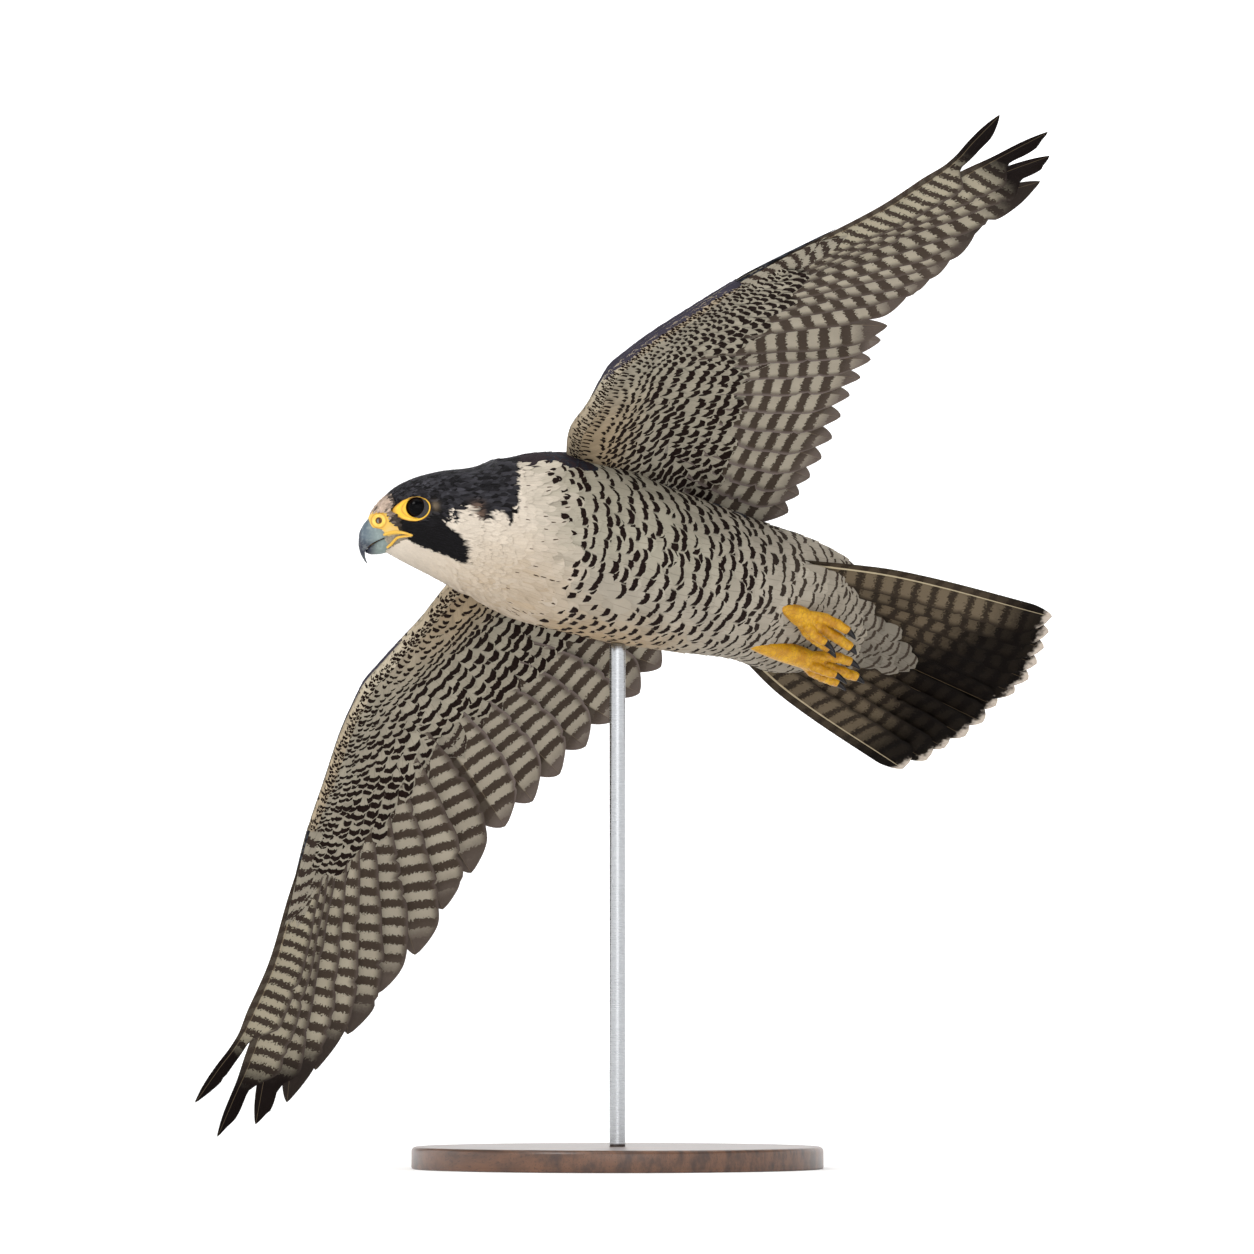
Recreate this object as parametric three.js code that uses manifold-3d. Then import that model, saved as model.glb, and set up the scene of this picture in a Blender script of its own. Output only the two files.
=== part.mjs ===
// A peregrine falcon in banked flight, life size, on a plain display stand.
// Millimetres, +Z up. The origin is the centre of the underside of the base.
// The bird is laid out level, X to its left, Y aft and Z up, with its zero midway
// between the two wrists, and one group then pitches, banks and lifts all of it.

import * as THREE from 'three';
import { mergeVertices } from 'three/addons/utils/BufferGeometryUtils.js';
import Module from 'manifold-3d';

const wasm = await Module();
wasm.setup();

// Pose of the whole bird
const bank = 41.4;
const pitch = 10.6;
const birdPlace = [-13, -108, 402];

// Gap kept between two nodes that touch, and the shortest step left on a joined surface
const gap = 0.3;
const tidyStep = 0.05;

// Torso: stations along the body, each with the place of its middle, the half width
// and the reach above and below that middle
const torsoStations = [
  { y: 14, z: -3, wide: 44, above: 49, below: 45 },
  { y: 38, z: 1, wide: 51, above: 53, below: 52 },
  { y: 66, z: 4, wide: 54, above: 54, below: 56 },
  { y: 100, z: 1, wide: 54, above: 52, below: 54 },
  { y: 135, z: -3, wide: 51, above: 48, below: 51 },
  { y: 175, z: -4, wide: 48, above: 44, below: 48 },
  { y: 210, z: -5, wide: 46, above: 37, below: 43 },
  { y: 236, z: -9, wide: 49, above: 29, below: 36 },
  { y: 256, z: -16, wide: 50, above: 21, below: 26 },
  { y: 276, z: -23, wide: 42, above: 14, below: 16 },
  { y: 296, z: -30, wide: 26, above: 8, below: 9 },
  { y: 310, z: -34, wide: 10, above: 4, below: 4 },
];
const tailCut = 250;
const torsoSides = 24;
const torsoRings = 15;
const rumpRings = 4;

// Head: its own frame has F forward, L to its left and U up, with the zero between
// the eyes. The head is turned to the bird's right and held level while the body banks.
const headZero = [-11.3, -35.9, 19.4];
const headForward = [-0.539, -0.770, 0.341];
const headUp = [0.679, -0.159, 0.716];

// Head stations along F: the crown and throat heights, the half width and how high
// the widest place lies
const headStations = [
  { f: 22.5, top: 5.0, bottom: -26.5, wide: 9.0, mid: -11 },
  { f: 19, top: 9.2, bottom: -28.4, wide: 11.0, mid: -9 },
  { f: 14, top: 13.2, bottom: -31.3, wide: 14.0, mid: -7 },
  { f: 8, top: 16.4, bottom: -34.5, wide: 17.2, mid: -6 },
  { f: 0, top: 19.6, bottom: -38.6, wide: 20.0, mid: -6 },
  { f: -9, top: 22.0, bottom: -43.2, wide: 22.4, mid: -8 },
  { f: -18, top: 23.7, bottom: -48.2, wide: 24.2, mid: -10 },
  { f: -27, top: 24.6, bottom: -54.0, wide: 26.5, mid: -13 },
];
const headSides = 24;
const headRings = 11;

// Eye, lids and brow, in the head's frame
const eyeRadius = 9.0;
const eyeDepth = 11.6;
const eyeForward = 0.0;
const lidRadius = 6.9;
const lidTube = 1.3;

// Bill, in the head's frame
const nostrilRadius = 1.7;

// Wing layout, from the bird's middle: leading edge, height of the leading edge and
// slope of the wing's mean surface, against the distance out from the middle
const leadingEdge = [[30, 64], [44, 53], [58, 42], [72, 33], [100, 22], [127, 9], [148, 2],
  [170, 3], [218, 12], [255, 19], [298, 30], [332, 38], [366, 45], [402, 52], [466, 62]];
const edgeHeight = {
  left: [[30, 38], [44, 34], [95, 16], [146, -1], [230, -20], [330, -50], [470, -95]],
  right: [[30, 38], [44, 34], [95, 16], [146, -1], [230, -20], [330, -47], [470, -86]],
};
const chordSlope = {
  left: [[44, -0.06], [95, 0.03], [146, 0.07], [230, 0], [330, -0.12], [470, -0.2]],
  right: [[44, -0.08], [95, 0], [146, 0.01], [230, -0.08], [330, -0.14], [470, -0.14]],
};

// Tips of the ten primaries, inner one first, as [out, aft], and of the secondaries
// at the first, fourth, seventh and tenth feather
const primaryTips = {
  left: [[244, 145], [281, 127], [312, 120], [335, 115], [361, 110],
    [380, 106], [423, 106], [446, 94], [464, 78], [463, 43]],
  right: [[251, 146], [279, 138], [313, 134], [346, 123], [379, 117],
    [409, 108], [436, 100], [457, 87], [472, 65], [453, 38]],
};
const secondaryTips = {
  left: [[227, 155], [157, 194], [93, 223], [44, 231]],
  right: [[217, 156], [158, 193], [96, 221], [46, 230]],
};

// Tail
const tailRoot = [2, 222, -7];
const tailLength = 193;
const tailRound = 0.115;
const tailDrop = 17;
const tailRoll = -8;
const tailSpread = 16.6;
const tailRootHalf = 42;

// Stand
const baseRadius = 130;
const baseThick = 14;
const baseChamfer = 2;
const rodRadius = 5;
const rodReach = 400;

// Mouth line, in the head's frame, from the bill back to the corner
const mouthPath = [[24, -19.6], [21.3, -19], [14, -17.2], [8.4, -16.3], [4, -17.2]];
const mouthOpening = 0.7;
const mouthDepth = 1.5;
const mouthReach = 40;
const browPlace = [2, 17.6, 8.4];
const browRadii = [12, 3.2, 2.0];
const lidPlace = 18.8;
const lidStretch = 1.12;
const lidShift = 0.6;

// Bill stations, in the head's frame: F and U of the top line, F and U of the bottom
// line, half width
const cereStations = [
  [22.8, 4.6, 22.8, -18.6, 8.6],
  [27.0, -0.6, 25.4, -19.6, 7.8],
  [30.6, -6.2, 28.0, -21.2, 6.9],
];
const upperStations = [
  [30.9, -6.6, 28.3, -21.4, 6.8],
  [34.6, -11.2, 30.6, -23.6, 5.7],
  [36.8, -16.6, 32.2, -26.0, 4.5],
  [36.9, -23.0, 32.6, -28.0, 3.1],
  [35.2, -29.0, 32.2, -30.6, 1.7],
  [31.8, -34.4, 31.0, -34.0, 0.5],
];
const lowerStations = [
  [22.8, -19.4, 22.8, -27.6, 7.2],
  [26.0, -20.9, 26.0, -28.7, 6.2],
  [28.4, -22.6, 28.4, -29.0, 4.6],
  [30.0, -25.0, 30.0, -28.2, 2.2],
];
const nostrilPlace = [26.2, 8.2, -8.6];
const nostrilDepth = 2.4;

// Wing chord and camber, and the flesh inside the feathers
const chordLength = [[30, 170], [60, 195], [100, 205], [150, 200], [200, 160], [250, 125],
  [330, 90], [470, 30]];
const camberHeight = [[30, 10], [100, 11], [180, 8], [260, 4], [470, 1]];
const fleshStations = [34, 52, 72, 100, 127, 148, 170, 200, 228, 246];
const fleshChord = [[30, 100], [70, 88], [100, 66], [148, 42], [200, 27], [246, 12]];
const fleshThick = [[30, 32], [70, 24], [100, 18], [148, 15], [200, 11], [246, 7]];
const fleshSides = 12;

// Legs and feet: on the left side, the right one mirrored
const legPath = [[25, 182, -26], [21, 204, -31], [14, 224, -36], [9, 236, -40]];
const legRadii = [8, 15, 10, 5];
const footHeel = { left: [9, 239, -49], right: [-13, 241, -49] };
const footEnd = { left: [12, 282, -57], right: [-9, 290, -57] };
const toes = [
  {
    name: 'inner',
    path: [[4, -2, 0], [13, -5, 1], [24, -7, 1], [33, -7, 3]],
    radii: [3.4, 3.0, 2.8, 2.0],
    claw: 14,
  },
  {
    name: 'middle',
    path: [[4, 0, 0], [16, 0, -1], [30, -1, 0], [43, -2, 2]],
    radii: [3.8, 3.3, 3.1, 2.0],
    claw: 13,
  },
  {
    name: 'outer',
    path: [[4, 2, 0], [14, 6, 0], [25, 7, 1], [35, 6, 3]],
    radii: [3.5, 3.0, 2.8, 1.8],
    claw: 11,
  },
  {
    name: 'hind',
    path: [[2, 0, 3], [8, -1, 7], [15, -2, 9], [20, -2, 9]],
    radii: [3.2, 3.2, 2.8, 2.0],
    claw: 14,
  },
];

// Feather layout: first and last roots on the hand and on the arm, where the outer
// primaries narrow, and how far the outer two bend aft
const handRoots = [[158, 15], [234, 20]];
const armRoots = [[144, 26], [74, 82]];
const secondaryCount = 10;
const notchPlace = [0.86, 0.82, 0.74];
const notchWidth = [0.55, 0.48, 0.42];
const outerBend = { left: [23, 5], right: [18, 9] };

// Outlines of a vane: place along it, and the part of its front and rear width there
const rounded = [[0, 0.5, 0.3], [0.32, 0.9, 0.8], [0.72, 1, 1], [0.93, 0.85, 0.78], [1, 0.25, 0.2]];
const blunt = [[0, 0.5, 0.4], [0.4, 0.9, 0.85], [0.9, 1, 1], [1, 0.45, 0.45]];
const short = [[0, 0.5, 0.4], [0.7, 1, 1], [1, 0.35, 0.35]];

// Tiers of coverts under and over the wing: the step from one feather that carries a
// covert to the next, its reach along that feather, its front and rear width as parts of
// the feather's own, and how far it stands off
const underTiers = [
  { every: 1, reach: 1, front: 0.8, rear: 0.72, rise: 2.4 },
];
const overTiers = [
  { every: 3, reach: 0.95, front: 0.8, rear: 1.04, rise: 2.4 },
];

// Tail: pairs of feathers, step down from pair to pair, bow of the outer ones, coverts
const tailPairs = 6;
const tailStep = 1.1;
const tailBend = 7;
const tailCovertTiers = [
  { count: 5, reach: 82, rise: -9.5, fan: 18, wide: 12 },
  { count: 3, reach: 52, rise: -12.5, fan: 12, wide: 14 },
  { count: 3, reach: 66, rise: 5, fan: 18, wide: 13 },
];

const red = Math.PI / 180;

// Piecewise monotone interpolation through [place, value] pairs
function between(pairs, at) {
  const last = pairs.length - 1;
  if (at <= pairs[0][0]) return pairs[0][1] + (at - pairs[0][0]) * slope(pairs, 0);
  if (at >= pairs[last][0]) return pairs[last][1] + (at - pairs[last][0]) * slope(pairs, last - 1);
  let i = 0;
  while (at > pairs[i + 1][0]) i += 1;
  const span = pairs[i + 1][0] - pairs[i][0];
  const s = (at - pairs[i][0]) / span;
  const m0 = tangent(pairs, i) * span;
  const m1 = tangent(pairs, i + 1) * span;
  const s2 = s * s;
  const s3 = s2 * s;
  return (2 * s3 - 3 * s2 + 1) * pairs[i][1] + (s3 - 2 * s2 + s) * m0
    + (3 * s2 - 2 * s3) * pairs[i + 1][1] + (s3 - s2) * m1;
}

function slope(pairs, i) {
  return (pairs[i + 1][1] - pairs[i][1]) / (pairs[i + 1][0] - pairs[i][0]);
}

function tangent(pairs, i) {
  if (i === 0) return slope(pairs, 0);
  if (i === pairs.length - 1) return slope(pairs, i - 1);
  const a = slope(pairs, i - 1);
  const b = slope(pairs, i);
  return a * b <= 0 ? 0 : 2 * a * b / (a + b);
}

function mix(a, b, s) {
  return a + (b - a) * s;
}

// Closed body through rings of points, each ring with the same number of points. A thin
// body, whose rings run over one face and back under the other, is split alike on both.
function loft(rings, alike = false) {
  const sides = rings[0].length;
  const points = rings.flat();
  const faces = [];
  for (let r = 0; r + 1 < rings.length; r += 1) {
    for (let i = 0; i < sides; i += 1) {
      const j = (i + 1) % sides;
      const a = r * sides + i;
      const b = r * sides + j;
      if (alike && i >= sides / 2) faces.push([a, b, a + sides], [b, b + sides, a + sides]);
      else faces.push([a, b, b + sides], [a, b + sides, a + sides]);
    }
  }
  for (const [ring, flip] of [[0, true], [rings.length - 1, false]]) {
    const middle = new THREE.Vector3();
    for (const p of rings[ring]) middle.addScaledVector(p, 1 / sides);
    points.push(middle);
    for (let i = 0; i < sides; i += 1) {
      const a = ring * sides + i;
      const b = ring * sides + (i + 1) % sides;
      faces.push(flip ? [b, a, points.length - 1] : [a, b, points.length - 1]);
    }
  }
  return body(points, faces);
}

// Manifold solid from points and triangles, turned outwards if it is inside out
function body(points, faces) {
  const geometry = new THREE.BufferGeometry();
  const places = points.flatMap((p) => [p.x, p.y, p.z]);
  geometry.setAttribute('position', new THREE.Float32BufferAttribute(places, 3));
  geometry.setIndex(faces.flat());
  return solid(geometry);
}

function volume(geometry) {
  const place = geometry.attributes.position;
  const index = geometry.index;
  const a = new THREE.Vector3();
  const b = new THREE.Vector3();
  const c = new THREE.Vector3();
  let sum = 0;
  for (let i = 0; i < index.count; i += 3) {
    a.fromBufferAttribute(place, index.getX(i));
    b.fromBufferAttribute(place, index.getX(i + 1));
    c.fromBufferAttribute(place, index.getX(i + 2));
    sum += a.dot(b.cross(c)) / 6;
  }
  return sum;
}

function solid(source) {
  const bare = source.clone();
  bare.deleteAttribute('normal');
  bare.deleteAttribute('uv');
  const merged = mergeVertices(bare, 1e-4);
  const triangles = Uint32Array.from(merged.index.array);
  if (volume(merged) < 0) {
    for (let i = 0; i < triangles.length; i += 3) {
      const kept = triangles[i + 1];
      triangles[i + 1] = triangles[i + 2];
      triangles[i + 2] = kept;
    }
  }
  const mesh = new wasm.Mesh({
    numProp: 3,
    vertProperties: Float32Array.from(merged.attributes.position.array),
    triVerts: triangles,
  });
  return new wasm.Manifold(mesh);
}

function join(pieces) {
  return pieces.reduce((whole, piece) => whole.add(piece));
}

// The largest closed body of a solid
function largest(whole) {
  const parts = whole.simplify(tidyStep).decompose();
  parts.sort((a, b) => b.volume() - a.volume());
  return parts[0];
}

function geometryOf(whole) {
  const mesh = whole.getMesh();
  const places = [];
  for (let i = 0; i < mesh.numVert; i += 1) {
    for (let k = 0; k < 3; k += 1) places.push(mesh.vertProperties[i * mesh.numProp + k]);
  }
  const geometry = new THREE.BufferGeometry();
  geometry.setAttribute('position', new THREE.Float32BufferAttribute(places, 3));
  geometry.setIndex(Array.from(mesh.triVerts));
  geometry.computeVertexNormals();
  return geometry;
}

function vector(list) {
  return new THREE.Vector3(list[0], list[1], list[2]);
}

// Oval ring: half width to the sides, and its own reach above and below
function ovalRing(middle, side, up, wide, above, below, sides, power = 2.2) {
  const ring = [];
  for (let i = 0; i < sides; i += 1) {
    const turn = 2 * Math.PI * i / sides;
    const c = Math.cos(turn);
    const s = Math.sin(turn);
    const across = Math.sign(c) * Math.abs(c) ** (2 / power) * wide;
    const high = Math.sign(s) * Math.abs(s) ** (2 / power) * (s > 0 ? above : below);
    ring.push(middle.clone().addScaledVector(side, across).addScaledVector(up, high));
  }
  return ring;
}

// Torso and its grown copy
const leftward = new THREE.Vector3(1, 0, 0);
const upward = new THREE.Vector3(0, 0, 1);

function torsoAt(y, key) {
  return between(torsoStations.map((station) => [station.y, station[key]]), y);
}

function torsoRing(y, grow) {
  const middle = new THREE.Vector3(0, y, torsoAt(y, 'z'));
  return ovalRing(middle, leftward, upward, torsoAt(y, 'wide') + grow,
    torsoAt(y, 'above') + grow, torsoAt(y, 'below') + grow, torsoSides);
}

function bodyLength(first, last, count, grow) {
  const rings = [];
  for (let i = 0; i <= count; i += 1) rings.push(torsoRing(mix(first, last, i / count), grow));
  return loft(rings);
}

function torsoSolid(grow) {
  return bodyLength(torsoStations[0].y - grow, tailCut + grow, torsoRings, grow);
}

function rumpSolid(grow) {
  return bodyLength(tailCut + gap - grow, torsoStations[torsoStations.length - 1].y, rumpRings, grow);
}

// Head frame
const headF = vector(headForward).normalize();
const headL = new THREE.Vector3().crossVectors(vector(headUp), headF).normalize();
const headU = new THREE.Vector3().crossVectors(headF, headL).normalize();

function inHead(f, l, u) {
  return vector(headZero).addScaledVector(headF, f).addScaledVector(headL, l).addScaledVector(headU, u);
}

function headAt(f, key) {
  const pairs = headStations.map((station) => [-station.f, station[key]]);
  return between(pairs, -f);
}

function headRing(f, grow, sides = headSides) {
  const mid = headAt(f, 'mid');
  return ovalRing(inHead(f, 0, mid), headL, headU, headAt(f, 'wide') + grow,
    headAt(f, 'top') - mid + grow, mid - headAt(f, 'bottom') + grow, sides, 2.15);
}

function headCore(grow) {
  const front = headStations[0].f;
  const back = headStations[headStations.length - 1].f;
  const rings = [];
  for (let i = 0; i <= headRings; i += 1) {
    rings.push(headRing(mix(front + grow, back - grow, i / headRings), grow));
  }
  return loft(rings);
}

// The ring turned by whole points until it lies nearest to another ring
function nearestTurn(fixed, ring) {
  let best = ring;
  let least = Infinity;
  for (let shift = 0; shift < ring.length; shift += 1) {
    const turned = ring.map((p, i) => ring[(i + shift) % ring.length]);
    const sum = turned.reduce((total, p, i) => total + p.distanceToSquared(fixed[i]), 0);
    if (sum < least) {
      least = sum;
      best = turned;
    }
  }
  return best;
}

// Neck: the back ring of the head runs over into the front ring of the torso
function neckSolid() {
  const start = headRing(headStations[headStations.length - 1].f - gap, 0, torsoSides);
  const end = nearestTurn(start, torsoRing(torsoStations[0].y - gap, 0));
  const backOfHead = headF.clone().negate();
  const rings = [];
  const steps = 7;
  for (let k = 0; k <= steps; k += 1) {
    const s = k / steps;
    const ring = start.map((p, i) => {
      const reach = p.distanceTo(end[i]) * 0.35;
      const a = p.clone();
      const b = p.clone().addScaledVector(backOfHead, reach);
      const c = end[i].clone().add(new THREE.Vector3(0, -reach, 0));
      return new THREE.CubicBezierCurve3(a, b, c, end[i].clone()).getPoint(s);
    });
    rings.push(ring);
  }
  return loft(rings);
}

function ellipsoid(middle, radii, axes, detail = [14, 9]) {
  const ball = new THREE.SphereGeometry(1, detail[0], detail[1]);
  const turn = new THREE.Matrix4().makeBasis(...axes);
  ball.applyMatrix4(new THREE.Matrix4().makeScale(...radii));
  ball.applyMatrix4(turn);
  ball.translate(middle.x, middle.y, middle.z);
  return solid(ball);
}

function eyeSolid(side, grow = 0) {
  const radius = eyeRadius + grow;
  return ellipsoid(inHead(eyeForward, side * eyeDepth, 0), [radius, radius, radius], [headF, headL, headU]);
}

// Round tube along points, with its own radius at each point
function tube(points, radii, sides = 8) {
  const rings = [];
  const side = new THREE.Vector3(1, 0, 0);
  points.forEach((p, i) => {
    const before = points[Math.max(i - 1, 0)];
    const after = points[Math.min(i + 1, points.length - 1)];
    const along = after.clone().sub(before).normalize();
    const across = side.clone().addScaledVector(along, -side.dot(along)).normalize();
    const high = new THREE.Vector3().crossVectors(along, across);
    rings.push(ovalRing(p, across, high, radii[i], radii[i], radii[i], sides, 2));
  });
  return loft(rings);
}

// Head: core, brows and lids, less the eye sockets, the mouth line and the bill's seat
function mouthLine() {
  const rings = mouthPath.map(([f, u]) => {
    const low = u - mouthOpening / 2;
    const high = u + mouthOpening / 2;
    return [inHead(f, -mouthReach, low), inHead(f, mouthReach, low),
      inHead(f, mouthReach, high), inHead(f, -mouthReach, high)];
  });
  return loft(rings).subtract(headCore(-mouthDepth));
}

function browSolid(side) {
  const middle = inHead(browPlace[0], side * browPlace[1], browPlace[2]);
  return ellipsoid(middle, browRadii, [headF, headL, headU], [12, 6]);
}

function lidSolid(side) {
  const ring = new THREE.TorusGeometry(lidRadius, lidTube, 5, 16);
  ring.scale(lidStretch, 1, 1);
  const turn = new THREE.Matrix4().makeBasis(headF, headU, headL.clone().multiplyScalar(-1));
  ring.applyMatrix4(turn);
  const middle = inHead(eyeForward + lidShift, side * lidPlace, 0);
  ring.translate(middle.x, middle.y, middle.z);
  return solid(ring);
}

function headSolid() {
  let whole = join([headCore(0), browSolid(1), browSolid(-1), lidSolid(1), lidSolid(-1)]);
  whole = whole.subtract(mouthLine());
  for (const side of [1, -1]) whole = whole.subtract(eyeSolid(side, gap));
  return largest(whole);
}

// Bill: rings between a top line and a bottom line, in the head's frame
function billRing(station) {
  const [topF, topU, bottomF, bottomU, wide] = station;
  const top = inHead(topF, 0, topU);
  const bottom = inHead(bottomF, 0, bottomU);
  const middle = top.clone().add(bottom).multiplyScalar(0.5);
  const up = top.clone().sub(bottom);
  const half = up.length() / 2;
  return ovalRing(middle, headL, up.normalize(), wide, half, half, 16, 2);
}

function billSolid(stations) {
  return loft(stations.map(billRing));
}

function cereSolid() {
  let whole = billSolid(cereStations);
  for (const side of [1, -1]) {
    const hole = ellipsoid(inHead(nostrilPlace[0], side * nostrilPlace[1], nostrilPlace[2]),
      [nostrilRadius, nostrilDepth, nostrilRadius], [headF, headL, headU], [10, 6]);
    const pin = ellipsoid(inHead(nostrilPlace[0], side * (nostrilPlace[1] - 1.6), nostrilPlace[2]),
      [0.5, 1.5, 0.5], [headF, headL, headU], [6, 4]);
    whole = whole.subtract(hole).add(pin);
  }
  return largest(whole);
}

// Wing surface
function edgeAft(x) {
  return between(leadingEdge, x);
}

function wingHeight(side, x, y) {
  const aft = y - edgeAft(x);
  const chord = between(chordLength, x);
  const camber = between(camberHeight, x);
  const s = Math.min(Math.max(aft / chord, 0), 1.2);
  return between(edgeHeight[side], x) + between(chordSlope[side], x) * aft + 4 * camber * s * (1 - s);
}

function wingPoint(side, x, y, lift) {
  const hand = side === 'left' ? 1 : -1;
  return new THREE.Vector3(hand * x, y, wingHeight(side, x, y) + lift);
}

// Flesh of the wing: aerofoil sections from inside the body to the end of the hand
function fleshRing(side, x) {
  const chord = between(fleshChord, x);
  const thick = between(fleshThick, x);
  const ring = [];
  for (let i = 0; i < fleshSides; i += 1) {
    const turn = 2 * Math.PI * i / fleshSides;
    const s = (1 - Math.cos(turn)) / 2;
    const half = thick / 2 * Math.sin(turn) * (1.25 - 0.55 * s);
    ring.push(wingPoint(side, x, edgeAft(x) + s * chord, half));
  }
  return ring;
}

function fleshSolid(side) {
  return loft(fleshStations.map((x) => fleshRing(side, x)));
}

// A vane: a long thin plate along a bent midrib, thickest at the midrib and tilted so
// that its rear edge hangs lower. It lies on the surface that the function at gives.
function vane({ at, root, tip, shape, front, rear, tilt, lift, bend, thick = [1.1, 0.55] }) {
  const run = new THREE.Vector2(tip[0] - root[0], tip[1] - root[1]);
  const length = run.length();
  run.divideScalar(length);
  const ahead = new THREE.Vector2(run.y, -run.x);
  const rings = shape.map(([s, frontPart, rearPart]) => {
    const sink = between(lift, s);
    const shift = bend ? between(bend, s) : 0;
    const point = (offset, rise) => at(root[0] + run.x * length * s + ahead.x * (offset + shift),
      root[1] + run.y * length * s + ahead.y * (offset + shift), sink + tilt * offset + rise);
    const ribHalf = thick[0] / 2 * (1 - 0.45 * s);
    const edgeHalf = thick[1] / 2;
    const f = front * frontPart;
    const r = -rear * rearPart;
    return front > 0 && thick[0] > thick[1]
      ? [point(f, edgeHalf), point(0, ribHalf), point(r, edgeHalf),
        point(r, -edgeHalf), point(0, -ribHalf), point(f, -edgeHalf)]
      : [point(f, edgeHalf), point(r, edgeHalf), point(r, -edgeHalf), point(f, -edgeHalf)];
  });
  return loft(rings, true);
}

// Flight feathers of one wing, from the outermost primary to the innermost secondary
function flightFeathers(side) {
  const feathers = [];
  for (let n = 10; n >= 1; n -= 1) {
    const s = (n - 1) / 9;
    feathers.push({
      root: [mix(handRoots[0][0], handRoots[1][0], s), mix(handRoots[0][1], handRoots[1][1], s)],
      tip: primaryTips[side][n - 1],
      front: mix(8, 5, s),
      rear: mix(29, 21, s),
      bend: primaryBend(side, n),
      shape: n > 7 ? notched(notchPlace[n - 8], notchWidth[n - 8]) : rounded,
      tilt: 0.11,
      cover: mix(0.5, 0.34, s),
    });
  }
  const outs = secondaryTips[side].map((tip, i) => [1 + 3 * i, tip[0]]);
  const afts = secondaryTips[side].map((tip, i) => [1 + 3 * i, tip[1]]);
  for (let n = 1; n <= secondaryCount; n += 1) {
    const s = (n - 1) / (secondaryCount - 1);
    feathers.push({
      root: [mix(armRoots[0][0], armRoots[1][0], s), mix(armRoots[0][1], armRoots[1][1], s)],
      tip: [between(outs, n), between(afts, n)],
      front: mix(14, 9, s),
      rear: 24,
      bend: [[0, 0], [0.5, -2], [1, 0]],
      shape: rounded,
      tilt: mix(0.09, 0.13, s),
      cover: 0.52,
    });
  }
  return feathers;
}

function primaryBend(side, n) {
  const most = n === 10 ? -outerBend[side][0] : n === 9 ? -outerBend[side][1] : 2;
  return n > 8
    ? [[0, 0], [0.3, most * 0.43], [0.58, most * 0.86], [0.74, most], [0.87, most * 0.75], [1, 0]]
    : [[0, 0], [0.6, most], [1, 0]];
}

function notched(place, width) {
  return [[0, 0.5, 0.3], [0.3, 0.9, 0.8], [place - 0.09, 1, 1], [place + 0.03, 0.85, width + 0.05],
    [0.95, 0.6, width * 0.7], [1, 0.15, 0.06]];
}

// Coverts: one over and one under each flight feather, and a shorter tier ahead of them
function coverts(side) {
  const at = (x, y, rise) => wingPoint(side, x, y, rise);
  const pieces = [];
  flightFeathers(side).forEach((feather, n) => {
    for (const [face, tiers] of [[-1, underTiers], [1, overTiers]]) {
      for (const tier of tiers) {
        if (n % tier.every) continue;
        const part = feather.cover * tier.reach;
        pieces.push(vane({
          at,
          root: feather.root,
          tip: [mix(feather.root[0], feather.tip[0], part), mix(feather.root[1], feather.tip[1], part)],
          bend: feather.bend.map(([s, shift]) => [s / part, shift]),
          shape: short,
          front: feather.front * tier.front,
          rear: feather.rear * tier.rear,
          tilt: feather.tilt,
          lift: [[0, face * tier.rise], [1, face * tier.rise]],
          thick: [0.6, 0.6],
        }));
      }
    }
  });
  return pieces;
}

function wingSolid(side) {
  const at = (x, y, rise) => wingPoint(side, x, y, rise);
  const vanes = flightFeathers(side).map((feather) => vane({ at, lift: [[0, 0], [1, 0]], ...feather }));
  const whole = join([fleshSolid(side), ...vanes, ...coverts(side)]);
  return largest(whole.subtract(torsoSolid(gap)));
}

// Tail frame: A runs aft along the tail, S to the left and N up from its plane
const tailA = new THREE.Vector3(0, Math.cos(tailDrop * red), -Math.sin(tailDrop * red));
const tailS = new THREE.Vector3(1, 0, 0).applyAxisAngle(tailA, -tailRoll * red);
const tailN = new THREE.Vector3().crossVectors(tailS, tailA);

function inTail(across, aft, lift) {
  return vector(tailRoot).addScaledVector(tailS, across).addScaledVector(tailA, aft)
    .addScaledVector(tailN, lift);
}

// Tail feathers: the middle pair lies on top and each pair further out lies lower
function tailFeathers() {
  const feathers = [];
  for (const side of [1, -1]) {
    for (let n = tailPairs; n >= 1; n -= 1) {
      const s = (n - 0.5) / tailPairs;
      const turn = tailSpread * s * red;
      const reach = tailLength * (1 - tailRound * s * s);
      const at = (across, aft, rise) => inTail(side * across, aft, rise - tailStep * n);
      feathers.push({
        at,
        side,
        root: [tailRootHalf * s, 0],
        tip: [tailRootHalf * s + Math.sin(turn) * reach, Math.cos(turn) * reach],
        front: mix(12, 8, s),
        rear: mix(12, 17, s),
        bend: [[0, 0], [0.4, tailBend * s], [1, 0]],
        shape: blunt,
        tilt: 0,
        lift: [[0, 0], [1, 0]],
      });
    }
  }
  return feathers;
}

function tailCoverts() {
  const pieces = [];
  for (const { count, reach, rise, fan, wide } of tailCovertTiers) {
    for (let i = 0; i < count; i += 1) {
      const s = count === 1 ? 0 : 2 * i / (count - 1) - 1;
      const turn = fan * s * red;
      const drop = Math.sign(rise) * (i % 2) * 0.9;
      pieces.push(vane({
        at: (across, aft, up) => inTail(across, aft, up),
        root: [12 * s, 24],
        tip: [12 * s + Math.sin(turn) * reach, 20 + Math.cos(turn) * reach * (1 - 0.15 * s * s)],
        shape: short,
        front: wide,
        rear: wide,
        tilt: 0,
        lift: [[0, rise * 0.4 + drop], [0.4, rise + drop], [1, rise * 0.8 + drop]],
        thick: [0.7, 0.7],
      }));
    }
  }
  return pieces;
}

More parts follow.
